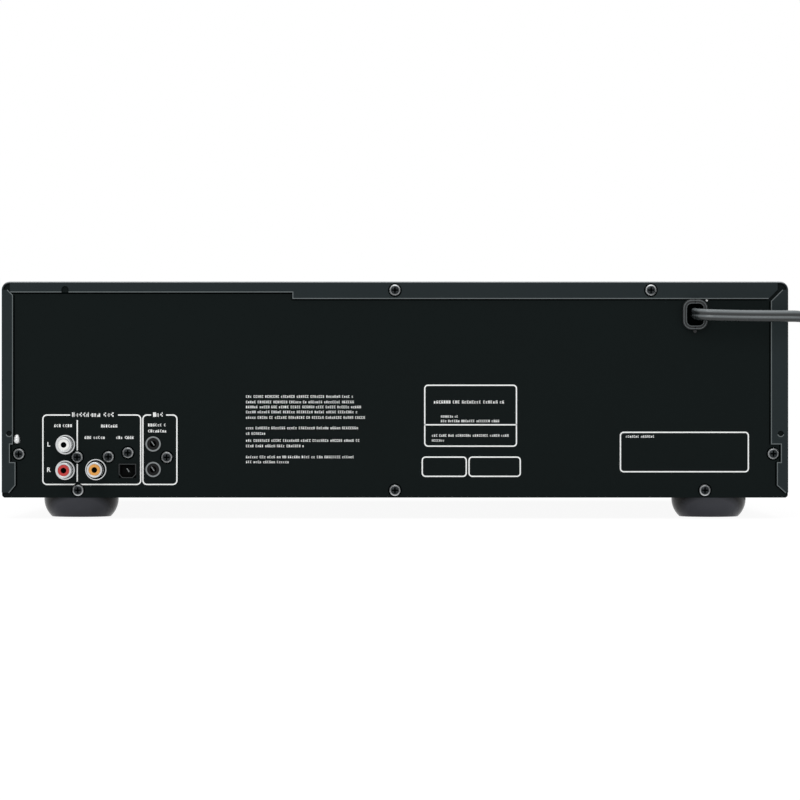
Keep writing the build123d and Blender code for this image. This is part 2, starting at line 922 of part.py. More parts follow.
shell_front = panel_y - sheet - phono_seat_depth
with BuildPart() as rca_shells:
    with BuildSketch(front_plane(shell_front)):
        with Locations(*[(-x, z) for x, z in phono_places]):
            Circle(phono_shell_radius)
            Circle(phono_shell_bore, mode=Mode.SUBTRACT)
    extrude(amount=panel_y + phono_length - shell_front)
    with BuildSketch(front_plane(panel_y)):
        for (x, z), radius in zip(phono_places, (phono_ring_radius, phono_ring_radius, coaxial_ring_radius)):
            with Locations((-x, z)):
                Circle(radius)
                Circle((phono_shell_radius + phono_shell_bore) / 2, mode=Mode.SUBTRACT)
    extrude(amount=phono_ring_depth)
    tips = rca_shells.faces().filter_by(Plane.XZ).group_by(Axis.Y)[-1].edges()
    chamfer(tips, phono_shell_chamfer)
rca_shells.part.label = "rca_shells"
export_step(rca_shells.part, "parts/rca_shells.step")


def phono_insulator(place):
    """The coloured plastic that fills a shell and holds its centre contact."""
    x, z = place
    with BuildPart() as insulator:
        with BuildSketch(front_plane(shell_front)):
            with Locations((-x, z)):
                Circle(phono_shell_bore - press_gap)
        extrude(amount=panel_y + phono_length - insulator_recess - shell_front)
        with BuildSketch(front_plane(panel_y + insulator_floor)):
            with Locations((-x, z)):
                Circle(phono_pin_bore)
        extrude(amount=phono_length, mode=Mode.SUBTRACT)
    return insulator.part


for name, place in (("left", phono_left), ("right", phono_right), ("coaxial", phono_coaxial)):
    insulator = phono_insulator(place)
    insulator.label = f"rca_insulator_{name}"
    export_step(insulator, f"parts/rca_insulator_{name}.step")

# The optical socket: a block whose nose fills a hole in the panel, with a sprung door inside its mouth
optical_block_top = case_bottom + 29.5
hinge_z = optical_z + optical_cavity_height / 2 - shutter_thickness / 2 - shutter_top_gap
hinge_y = panel_y - shutter_setback
with BuildPart() as optical_jack:
    with BuildSketch(rear_plane(chassis_rear)):
        with Locations((optical_x, board_top)):
            Rectangle(2 * optical_block_half, optical_block_top - board_top, align=(Align.CENTER, Align.MIN))
    extrude(amount=jack_block_depth + optical_block_extra)
    with BuildSketch(front_plane(chassis_rear)) as nose:
        with Locations((-optical_x, optical_z)):
            Rectangle(optical_width, optical_height)
        chamfer(nose.vertices().group_by(Axis.Y)[0], optical_corner)
    extrude(amount=sheet + optical_proud)
    with BuildSketch(rear_plane(panel_y + optical_proud)):
        with Locations((optical_x, optical_z)):
            Rectangle(optical_cavity_width, optical_cavity_height)
    extrude(amount=optical_cavity_depth, mode=Mode.SUBTRACT)
    with BuildSketch(rear_plane(chassis_rear)):
        with Locations(socket_screws[2]):
            Circle(screw_radius + press_gap)
    extrude(amount=screw_length, mode=Mode.SUBTRACT)
optical_jack.part.label = "optical_jack"
export_step(optical_jack.part, "parts/optical_jack.step")

shutter_half = optical_cavity_width / 2 - shutter_side_gap
shutter_low = optical_z - optical_cavity_height / 2 + shutter_low_gap
with BuildPart() as optical_shutter:
    with BuildSketch(rear_plane(hinge_y + shutter_thickness / 2)):
        with Locations((optical_x, shutter_low)):
            Rectangle(2 * shutter_half, hinge_z - shutter_low, align=(Align.CENTER, Align.MIN))
    extrude(amount=shutter_thickness)
    with BuildSketch(Plane.YZ.offset(optical_x - shutter_half)):
        with Locations((hinge_y, hinge_z)):
            Circle(shutter_thickness / 2)
    extrude(amount=2 * shutter_half)
optical_shutter.part.label = "optical_shutter"
export_step(optical_shutter.part, "parts/optical_shutter.step")

# Two 3.5 mm remote sockets in one block, each with a metal ring on the panel
remote_block_x = half_width - 87.0
remote_block_top = case_bottom + 35.5
remote_places = [remote_high, remote_low]
with BuildPart() as remote_jacks:
    with BuildSketch(rear_plane(chassis_rear)):
        with Locations((remote_block_x, board_top)):
            Rectangle(2 * remote_block_half, remote_block_top - board_top, align=(Align.CENTER, Align.MIN))
    extrude(amount=jack_block_depth)
    with BuildSketch(front_plane(chassis_rear)):
        with Locations(*[(-x, z) for x, z in remote_places]):
            Circle(remote_nose_radius)
    extrude(amount=sheet)
    with BuildSketch(front_plane(panel_y)):
        with Locations(*[(-x, z) for x, z in remote_places]):
            Circle(remote_ring_radius)
    extrude(amount=remote_ring_depth)
    with BuildSketch(rear_plane(panel_y + remote_ring_depth)):
        with Locations(*remote_places):
            Circle(remote_bore)
    extrude(amount=remote_length, mode=Mode.SUBTRACT)
    with BuildSketch(rear_plane(chassis_rear)):
        with Locations(socket_screws[3]):
            Circle(screw_radius + press_gap)
    extrude(amount=screw_length, mode=Mode.SUBTRACT)
remote_jacks.part.label = "remote_jacks"
export_step(remote_jacks.part, "parts/remote_jacks.step")

# The bushing: two halves gripped by the panel, with a deep mouth from which the lead comes
mouth_inset = bushing_lip + bushing_mouth_wall
with BuildPart() as cord_bushing:
    with BuildSketch(front_plane(panel_y - sheet - bushing_grip)):
        with Locations((-bushing_x, bushing_z)):
            RectangleRounded(bushing_width - 2 * bushing_lip - 2 * press_gap,
                             bushing_height - 2 * bushing_lip - 2 * press_gap,
                             bushing_round - bushing_lip)
    extrude(amount=sheet + bushing_grip)
    with BuildSketch(front_plane(panel_y)):
        with Locations((-bushing_x, bushing_z)):
            RectangleRounded(bushing_width, bushing_height, bushing_round)
    extrude(amount=bushing_proud)
    rim = cord_bushing.faces().sort_by(Axis.Y)[-1].edges()
    fillet(rim, bushing_edge_radius)
    with BuildSketch(rear_plane(panel_y + bushing_proud)):
        with Locations((bushing_x, bushing_z)):
            RectangleRounded(bushing_width - 2 * mouth_inset, bushing_height - 2 * mouth_inset,
                             bushing_round - mouth_inset)
    extrude(amount=bushing_proud - bushing_floor, mode=Mode.SUBTRACT)
    with BuildSketch(rear_plane(panel_y + bushing_proud)):
        with Locations((bushing_x, bushing_z)):
            Rectangle(bushing_seam, bushing_height)
    extrude(amount=bushing_lip, mode=Mode.SUBTRACT)
    with BuildSketch(front_plane(panel_y)):
        with Locations((-bushing_x, bushing_z - bushing_height / 2 - bushing_nib_drop)):
            Circle(bushing_nib_radius)
    extrude(amount=bushing_nib_depth)
cord_bushing.part.label = "cord_bushing"
export_step(cord_bushing.part, "parts/cord_bushing.step")

# The mains lead's free stretch: out of the bushing, sharply round beside the panel, past the case's
# corner and down along its side to the coil. A flat lead on its edge folds as tightly as this at the
# exit and at the corner
lay_z = cord_width / 2 + floor_gap
cord_exit = (-165.5, 206.0, 113.2)
coil_start = (coil_x + cord_width, coil_y + coil_radius, lay_z)
route = [
    cord_exit,
    (-165.5, 220.0, 113.2),
    (-187.0, 219.0, 113.5),
    (-208.0, 220.5, 113.2),
    (-225.0, 220.0, 112.6),
    (-228.5, 200.0, 110.5),
    (-235.5, 174.0, 102.0),
    (-243.0, 150.0, 86.0),
    (-250.0, 128.0, 64.0),
    (-256.5, 106.0, 41.0),
    (-263.0, 84.0, 20.0),
    (-271.0, 61.0, lay_z + 2.5),
    (-286.0, 39.0, lay_z),
    (-304.0, coil_y + coil_radius, lay_z),
    coil_start,
]


def corner_radii(points):
    """For each inner point, 0.45 of the shorter run beside it over the tangent of half the turn."""
    radii = []
    for before, at, after in zip(points, points[1:], points[2:]):
        incoming = Vector(*at) - Vector(*before)
        outgoing = Vector(*after) - Vector(*at)
        turn = radians(incoming.get_angle(outgoing))
        radii.append(0.45 * min(incoming.length, outgoing.length) / tan(turn / 2))
    return radii


def flat_section(origin, heading):
    """The flat twin's section on its edge, square to a level heading."""
    plane = Plane(origin=origin, x_dir=(-heading[1], heading[0], 0), z_dir=heading)
    with BuildSketch(plane) as section:
        SlotOverall(cord_width, cord_thickness, rotation=90)
    return section.sketch


route_radii = corner_radii(route)
with BuildLine() as lead_path:
    FilletPolyline(*route, radius=route_radii)
with BuildPart() as power_cord:
    add(flat_section(cord_exit, (0, 1, 0)))
    sweep(path=lead_path.wires()[0])
power_cord.part.label = "power_cord"
export_step(power_cord.part, "parts/power_cord.step")

# The put-away length: a neat coil on its edge, two layers. Each half turn's diameter is one step less
# than the last, the innermost half turn climbs a layer as two tilted arcs, and the coil spirals out
coil_step = cord_thickness + coil_turn_gap
coil_layer = cord_width + coil_layer_gap
with BuildLine() as coil_path:
    Line(coil_start, (coil_x, coil_start[1], lay_z))
    y, z, side = coil_start[1], lay_z, 1
    diameter = 2 * coil_radius - coil_step / 2
    for _ in range(coil_half_turns):
        TangentArc((coil_x, y, z), (coil_x, y - side * diameter, z), tangent=(-side, 0, 0))
        y -= side * diameter
        side = -side
        diameter -= coil_step
    reach = sqrt(diameter ** 2 + coil_layer ** 2) / 2
    middle = (coil_x - side * reach, y - side * diameter / 2, z + coil_layer / 2)
    climb = TangentArc((coil_x, y, z), middle, tangent=(-side, 0, 0))
    y -= side * diameter
    z += coil_layer
    TangentArc(middle, (coil_x, y, z), tangent=tuple(climb % 1))
    side = -side
    for _ in range(coil_half_turns):
        diameter += coil_step
        TangentArc((coil_x, y, z), (coil_x, y - side * diameter, z), tangent=(-side, 0, 0))
        y -= side * diameter
        side = -side
    plug_start = (coil_x + cord_width, y, z)
    Line((coil_x, y, z), plug_start)
with BuildPart() as cord_coil:
    add(flat_section(coil_start, (-1, 0, 0)))
    sweep(path=coil_path.wires()[0])
cord_coil.part.label = "cord_coil"
export_step(cord_coil.part, "parts/cord_coil.step")


def least_gap(wire, spacing=2.0):
    """The least distance between turns of a flat lead on its edge, measured on points along it."""
    count = ceil(wire.length / spacing)
    along = [wire @ (number / count) for number in range(count + 1)]
    apart = ceil(6 * cord_width / spacing)
    gaps = []
    for number, here in enumerate(along):
        for there in along[number + apart:]:
            level = hypot(here.X - there.X, here.Y - there.Y)
            upright = max(0.0, abs(here.Z - there.Z) - (cord_width - cord_thickness))
            gaps.append(hypot(level, upright) - cord_thickness)
    return min(gaps)


lead_length = lead_path.wires()[0].length
coil_length = coil_path.wires()[0].length
section_area = cord_thickness * (cord_width - cord_thickness) + pi * cord_thickness ** 2 / 4
print("lead radii", [round(radius, 1) for radius in route_radii])
print("lead volume", round(power_cord.part.volume), "expected", round(section_area * lead_length))
print("coil volume", round(cord_coil.part.volume), "expected", round(section_area * coil_length))
print("lead", round(lead_length), "coil", round(coil_length), "together", round(lead_length + coil_length))
print("least gap in the coil", round(least_gap(coil_path.wires()[0]), 2))

# A twist tie round the coil's turns, with its twisted ends on top
tie_gap = 0.75
tie_tail_length = 14.0
tie_tail_width = 2.4
tie_tail_height = 1.5
outer_turn = coil_radius - coil_step / 4
inner_turn = outer_turn - coil_step * (coil_half_turns // 2)
tie_y = coil_start[1] - outer_turn - coil_step / 2
tie_centre_x = coil_x - (outer_turn + inner_turn) / 2
tie_inner_width = outer_turn - inner_turn + cord_thickness + 2 * tie_gap
tie_inner_height = coil_layer + cord_width + tie_gap
with BuildPart() as coil_tie:
    with BuildSketch(rear_plane(tie_y + tie_width / 2)):
        with Locations((tie_centre_x, floor_gap - tie_thickness)):
            Rectangle(tie_inner_width + 2 * tie_thickness, tie_inner_height + 2 * tie_thickness,
                      align=(Align.CENTER, Align.MIN))
        with Locations((tie_centre_x, floor_gap)):
            Rectangle(tie_inner_width, tie_inner_height, align=(Align.CENTER, Align.MIN),
                      mode=Mode.SUBTRACT)
    extrude(amount=tie_width)
    with BuildSketch(Plane.XY.offset(floor_gap + tie_inner_height)):
        with Locations((tie_centre_x, tie_y)):
            SlotOverall(tie_tail_length, tie_tail_width, rotation=60)
            SlotOverall(tie_tail_length, tie_tail_width, rotation=120)
    extrude(amount=tie_thickness + tie_tail_height)
coil_tie.part.label = "coil_tie"
export_step(coil_tie.part, "parts/coil_tie.step")

# The plug stands on its edge beside the coil: a ribbed neck, a moulded body and two flat blades
plug_x, plug_y, plug_z = plug_start
plug_half_height = plug_z - 0.05
neck_end = plug_x + plug_neck_length
with BuildPart() as plug_body:
    with BuildSketch(Plane.YZ.offset(plug_x)):
        with Locations((plug_y, plug_z)):
            RectangleRounded(cord_thickness + 1.0, cord_width + 1.0, 2.0)
    with BuildSketch(Plane.YZ.offset(neck_end)):
        with Locations((plug_y, plug_z)):
            RectangleRounded(plug_thickness * 0.72, plug_half_height * 1.5, 3.6)
    loft()
    with BuildSketch(Plane.YZ.offset(neck_end)):
        with Locations((plug_y, plug_z)):
            RectangleRounded(plug_thickness, 2 * plug_half_height, 4.5)
    extrude(amount=plug_length)
    ends = plug_body.faces().filter_by(Plane.YZ).sort_by(Axis.X)
    fillet(ends[-1].edges(), 1.5)
plug_body.part.label = "plug_body"
export_step(plug_body.part, "parts/plug_body.step")

blade_face = neck_end + plug_length
with BuildPart() as plug_blades:
    with BuildSketch(Plane.XZ.offset(-(plug_y + blade_width / 2))):
        for side in (-1, 1):
            with Locations((blade_face, plug_z + side * blade_pitch / 2)):
                Rectangle(blade_length, blade_thickness, align=(Align.MIN, Align.CENTER))
    extrude(amount=blade_width)
    tips = plug_blades.edges().filter_by(Axis.Z).group_by(Axis.X)[-1]
    chamfer(tips, 1.6)
    with BuildSketch(Plane.XY):
        with Locations((blade_face + blade_length - 4.5, plug_y)):
            Circle(1.5)
    extrude(amount=2 * plug_z, mode=Mode.SUBTRACT)
plug_blades.part.label = "plug_blades"
export_step(plug_blades.part, "parts/plug_blades.step")

# The front panel: a hollow moulding with openings for the drawer, window, buttons and knobs
disc_keys = [(disc_row_x + number * key_pitch, disc_row_z) for number in range(pocket_count)]
keys = {
    "play_pause_button": (transport_x, transport_z),
    "stop_button": (transport_x + key_pitch, transport_z),
    "open_close_button": (transport_x, service_z),
    "disc_skip_button": (transport_x + key_pitch, service_z),
}
for number, place in enumerate(disc_keys):
    keys[f"disc_button_{number + 1}"] = place
window_centre = ((window_left + window_right) / 2, (window_low + window_high) / 2)
window_size = (window_right - window_left, window_high - window_low)
with BuildPart() as front_panel:
    with BuildSketch(front_plane(front_y)):
        with Locations((0, case_bottom)):
            Rectangle(case_width, case_height, align=(Align.CENTER, Align.MIN))
    extrude(amount=front_depth)
    fillet(front_panel.edges().filter_by(Axis.Y), bend_radius)
    fillet(front_panel.faces().sort_by(Axis.Y)[0].edges(), front_edge_radius)
    with BuildSketch(front_plane(wall_back)):
        with Locations((0, case_bottom + front_wall)):
            Rectangle(case_width - 2 * front_wall, case_height - 2 * front_wall,
                      align=(Align.CENTER, Align.MIN))
    extrude(amount=front_depth, mode=Mode.SUBTRACT)
    with BuildSketch(rear_plane(wall_back)):
        with Locations((0, (door_low + door_high) / 2)):
            Rectangle(2 * (door_half_width + door_gap), door_high - door_low + 2 * door_gap)
        with Locations(window_centre):
            RectangleRounded(window_size[0] + 2 * window_gap, window_size[1] + 2 * window_gap, window_round)
        with Locations(*keys.values()):
            RectangleRounded(key_width + 2 * button_gap, key_height + 2 * button_gap,
                             button_round + button_gap)
        with Locations(power_at):
            Circle(power_radius + button_gap)
        with Locations((phones_x, service_z)):
            Circle(phones_nose_radius + press_gap)
        with Locations((level_x, service_z), (jog_x, jog_z)):
            Circle(dial_shaft_radius + dial_hole_gap)
    extrude(amount=2 * front_wall, mode=Mode.SUBTRACT)
front_panel.part.label = "front_panel"
export_step(front_panel.part, "parts/front_panel.step")

with BuildPart() as display_window:
    with BuildSketch(front_plane(front_y)):
        with Locations((-window_centre[0], window_centre[1])):
            RectangleRounded(*window_size, window_round - window_gap)
    extrude(amount=front_wall)
    with BuildSketch(front_plane(wall_back)):
        with Locations((-window_centre[0], window_centre[1])):
            Rectangle(window_size[0] + 2 * window_rim, window_size[1] + 2 * window_rim)
    extrude(amount=window_flange)
display_window.part.label = "display_window"
export_step(display_window.part, "parts/display_window.step")


def button(x, z, outline, flange):
    """A cap through the panel, a flange behind the wall and a stem that stops short of the board."""
    with BuildPart() as cap:
        with BuildSketch(front_plane(front_y - button_proud)):
            with Locations((-x, z)):
                add(outline)
        extrude(amount=button_proud + front_wall)
        fillet(cap.faces().sort_by(Axis.Y)[0].edges(), button_edge_radius)
        with BuildSketch(front_plane(wall_back)):
            with Locations((-x, z)):
                add(flange)
        extrude(amount=button_flange)
        with BuildSketch(front_plane(wall_back)):
            with Locations((-x, z)):
                Circle(stem_radius)
        extrude(amount=board_back_gap - button_travel - moving_gap)
    return cap.part


with BuildSketch() as key_outline:
    RectangleRounded(key_width, key_height, button_round)
with BuildSketch() as key_flange:
    Rectangle(key_width + 2 * button_rim, key_height + 2 * button_rim)
with BuildSketch() as power_outline:
    Circle(power_radius)
with BuildSketch() as power_flange:
    Circle(power_radius + button_rim)
for name, (x, z) in keys.items():
    key = button(x, z, key_outline.sketch, key_flange.sketch)
    key.label = name
    export_step(key, f"parts/{name}.step")
power_button = button(*power_at, power_outline.sketch, power_flange.sketch)
power_button.label = "power_button"
export_step(power_button, "parts/power_button.step")


def dial(x, z, radius, depth, dimple=0.0, line=0.0):
    """A knob in front of the panel, with its shaft through the panel to just short of the board."""
    face = front_y - dial_gap - depth
    with BuildPart() as knob:
        with BuildSketch(front_plane(face)):
            with Locations((-x, z)):
                Circle(radius)
        extrude(amount=depth)
        fillet(knob.faces().sort_by(Axis.Y)[0].edges(), dial_edge_radius)
        with BuildSketch(front_plane(front_y - dial_gap)):
            with Locations((-x, z)):
                Circle(dial_shaft_radius)
        extrude(amount=dial_gap + front_wall + board_back_gap - moving_gap)
        if dimple:
            with BuildSketch(front_plane(face)):
                with Locations((-x, z + radius * 0.55)):
                    Circle(dimple)
            extrude(amount=jog_dimple_depth, mode=Mode.SUBTRACT)
        if line:
            with BuildSketch(front_plane(face)):
                with Locations((-x, z + radius * 0.62)):
                    Rectangle(line, radius * 0.7)
            extrude(amount=level_line_depth, mode=Mode.SUBTRACT)
    return knob.part


jog_dial = dial(jog_x, jog_z, jog_radius, jog_depth, dimple=jog_dimple_radius)
jog_dial.label = "jog_dial"
export_step(jog_dial, "parts/jog_dial.step")
level_knob = dial(level_x, service_z, level_radius, level_depth, line=level_line_width)
level_knob.label = "level_knob"
export_step(level_knob, "parts/level_knob.step")

with BuildPart() as headphone_jack:
    with BuildSketch(front_plane(front_y - phones_proud)):
        with Locations((-phones_x, service_z)):
            Circle(phones_nose_radius)
    extrude(amount=phones_proud + front_wall)
    with BuildSketch(front_plane(wall_back)):
        with Locations((-phones_x, service_z)):
            Rectangle(phones_block, phones_block)
    extrude(amount=phones_length)
    with BuildSketch(front_plane(front_y - phones_proud)):
        with Locations((-phones_x, service_z)):
            Circle(phones_bore)
    extrude(amount=phones_length, mode=Mode.SUBTRACT)
headphone_jack.part.label = "headphone_jack"
export_step(headphone_jack.part, "parts/headphone_jack.step")

front_board_low = case_bottom + front_board_height
phones_cutout = phones_block + 2 * phones_board_gap
with BuildPart() as front_board:
    with BuildSketch(front_plane(board_face)):
        with Locations((0, front_board_low)):
            Rectangle(2 * (half_width - front_board_side_gap), door_low - front_board_drop - front_board_low,
                      align=(Align.CENTER, Align.MIN))
        with Locations((-phones_x, service_z)):
            Rectangle(phones_cutout, phones_cutout, mode=Mode.SUBTRACT)
    extrude(amount=board_thickness)
    with BuildSketch(rear_plane(board_face)):
        with Locations(window_centre):
            Rectangle(window_size[0] - 2 * display_margin, window_size[1] - 2 * display_margin)
    extrude(amount=board_back_gap - window_flange - display_gap)
front_board.part.label = "front_board"
export_step(front_board.part, "parts/front_board.step")

# The drawer's front closes the opening flush and has a finger groove along its lower half
door_middle = (door_low + door_high) / 2
with BuildPart() as drawer_front:
    with BuildSketch(front_plane(front_y)):
        with Locations((0, door_middle)):
            Rectangle(2 * door_half_width, door_high - door_low)
    extrude(amount=door_thickness)
    fillet(drawer_front.faces().sort_by(Axis.Y)[0].edges(), door_edge_radius)
    with BuildSketch(front_plane(front_y)):
        with Locations((0, door_low + grip_height)):
            SlotOverall(2 * (door_half_width - grip_inset), grip_width)
    extrude(amount=grip_depth, mode=Mode.SUBTRACT)
drawer_front.part.label = "drawer_front"
export_step(drawer_front.part, "parts/drawer_front.step")

# The drawer's tray: a round well for the carousel, corners hollow from below, a flange along each
# side, a rack under the left half and a window for the lift
tray_length = tray_rear - tray_front
tray_middle = (tray_front + tray_rear) / 2
carousel_centre = (0, carousel_y)
carousel_gear_at = (carousel_gear_x, carousel_gear_y)
gear_well_radius = carousel_gear_radius + addendum * ring_gear_module + gear_well_gap
gear_well_top = tray_bottom + gear_well_height
motor_hole_radius = motor_can_radius + moving_gap
post_top = tray_bottom + post_height
rack_strip = 16.0
with BuildPart() as drawer_tray:
    with BuildSketch(Plane.XY.offset(tray_bottom)):
        with Locations((0, tray_middle)):
            Rectangle(2 * tray_half_width, tray_length)
    extrude(amount=tray_deck - tray_bottom)
    with BuildSketch(Plane.XY.offset(rail_bottom)):
        with Locations((0, tray_middle)):
            Rectangle(2 * (tray_half_width + rail_width), tray_length)
    extrude(amount=rail_thickness)
    with BuildSketch(Plane.XY.offset(tray_bottom)):
        with Locations((0, tray_middle)):
            Rectangle(2 * (tray_half_width - tray_wall), tray_length - 2 * tray_wall)
        with Locations(carousel_centre):
            Circle(well_radius + tray_wall, mode=Mode.SUBTRACT)
        with Locations((rack_x, tray_middle)):
            Rectangle(rack_strip, tray_length, mode=Mode.SUBTRACT)
        with Locations(carousel_gear_at):
            Circle(gear_well_radius + tray_wall, mode=Mode.SUBTRACT)
    extrude(amount=tray_deck - tray_bottom - tray_wall, mode=Mode.SUBTRACT)
    with BuildSketch(Plane.XY.offset(tray_top_of_floor)):
        with Locations(carousel_centre):
            Circle(well_radius)
    extrude(amount=tray_deck, mode=Mode.SUBTRACT)
    with BuildSketch(Plane.XY.offset(tray_top_of_floor)):
        with Locations(carousel_gear_at):
            Circle(gear_well_radius)
    extrude(amount=gear_well_top - tray_top_of_floor, mode=Mode.SUBTRACT)
    with BuildSketch(Plane.XY.offset(tray_bottom)):
        with Locations((0, (window_front_y + window_rear_y) / 2)):
            RectangleRounded(2 * window_half_x, window_rear_y - window_front_y, window_corner)
        with Locations(carousel_gear_at):
            Circle(motor_hole_radius)
    extrude(amount=tray_floor, mode=Mode.SUBTRACT)
    with BuildSketch(Plane.XY.offset(tray_bottom)):
        with Locations(carousel_centre):
            Circle(hub_shoulder_radius)
    extrude(amount=tray_floor + hub_lift - running_gap)
    with BuildSketch(Plane.XY.offset(tray_bottom)):
        with Locations(carousel_centre):
            Circle(hub_bore - running_gap)
    extrude(amount=post_top - tray_bottom)
    with BuildSketch(Plane.XY.offset(tray_bottom - rack_height)):
        add(rack_outline(drawer_gear_module, rack_x, rack_x - rack_web, rack_front, rack_rear, drawer_gear_y))
    extrude(amount=rack_height)
drawer_tray.part.label = "drawer_tray"
export_step(drawer_tray.part, "parts/drawer_tray.step")

# The carousel: a ring of pockets, each with a smaller recess and a slot for the turntable and lens. Its
# driven gear ring stands under the rim, and its boss turns on the tray's post
ring_gear_bottom = carousel_bottom - ring_gear_height
hub_bottom = tray_top_of_floor + hub_lift
scallop_angle = 90.0 - 180.0 / pocket_count
with BuildPart() as carousel:
    with BuildSketch(Plane.XY.offset(carousel_bottom)):
        with Locations(carousel_centre):
            Circle(carousel_radius)
    extrude(amount=carousel_top - carousel_bottom)
    with BuildSketch(Plane.XY.offset(carousel_top)):
        with Locations(carousel_centre):
            Circle(hub_cap_radius)
    extrude(amount=hub_cap_height)
    chamfer(carousel.faces().sort_by(Axis.Z)[-1].edges(), hub_cap_chamfer)
    with BuildSketch(Plane.XY.offset(pocket_floor)):
        with Locations(carousel_centre):
            with PolarLocations(pocket_circle, pocket_count, 90.0):
                Circle(pocket_radius)
            with PolarLocations(carousel_radius, pocket_count, scallop_angle):
                Circle(finger_radius)
    extrude(amount=pocket_depth, mode=Mode.SUBTRACT)
    with BuildSketch(Plane.XY.offset(pocket_floor - small_pocket_depth)):
        with Locations(carousel_centre):
            with PolarLocations(pocket_circle, pocket_count, 90.0):
                Circle(small_pocket_radius)
    extrude(amount=small_pocket_depth, mode=Mode.SUBTRACT)
    with BuildSketch(Plane.XY.offset(carousel_bottom)):
        with Locations(carousel_centre):
            with PolarLocations(pocket_circle + (slot_outer - slot_inner) / 2, pocket_count, 90.0):
                RectangleRounded(slot_outer + slot_inner, 2 * slot_half_width, slot_round)
    extrude(amount=pocket_floor - carousel_bottom, mode=Mode.SUBTRACT)
    with BuildSketch(Plane.XY.offset(ring_gear_bottom)):
        with Locations(carousel_centre):
            add(gear_outline(ring_gear_module, ring_gear_teeth, carousel_gear_angle + 180 / ring_gear_teeth))
            Circle(ring_gear_radius - ring_gear_web, mode=Mode.SUBTRACT)
    extrude(amount=ring_gear_height)
    with BuildSketch(Plane.XY.offset(hub_bottom)):
        with Locations(carousel_centre):
            Circle(hub_radius)
    extrude(amount=carousel_bottom - hub_bottom)
    with BuildSketch(Plane.XY.offset(hub_bottom)):
        with Locations(carousel_centre):
            Circle(hub_bore)
    extrude(amount=post_top + moving_gap - hub_bottom, mode=Mode.SUBTRACT)
carousel.part.label = "carousel"
export_step(carousel.part, "parts/carousel.step")

carousel_gear_low = ring_gear_bottom + carousel_gear_gap
carousel_gear_high = carousel_bottom - carousel_gear_gap
with BuildPart() as carousel_gear:
    with BuildSketch(Plane.XY.offset(carousel_gear_low)):
        with Locations(carousel_gear_at):
            add(gear_outline(ring_gear_module, carousel_gear_teeth, carousel_gear_angle + 180))
            Circle(motor_shaft_radius + running_gap, mode=Mode.SUBTRACT)
    extrude(amount=carousel_gear_high - carousel_gear_low)
carousel_gear.part.label = "carousel_gear"
export_step(carousel_gear.part, "parts/carousel_gear.step")

with BuildPart() as carousel_motor:
    with BuildSketch(Plane.XY.offset(tray_top_of_floor - motor_can_height)):
        with Locations(carousel_gear_at):
            Circle(motor_can_radius)
    extrude(amount=motor_can_height)
    with BuildSketch(Plane.XY.offset(tray_top_of_floor)):
        with Locations(carousel_gear_at):
            Circle(motor_flange_radius)
    extrude(amount=motor_flange)
    with BuildSketch(Plane.XY.offset(tray_top_of_floor)):
        with Locations(carousel_gear_at):
            Circle(motor_shaft_radius)
    extrude(amount=carousel_bottom - tray_top_of_floor)
carousel_motor.part.label = "carousel_motor"
export_step(carousel_motor.part, "parts/carousel_motor.step")

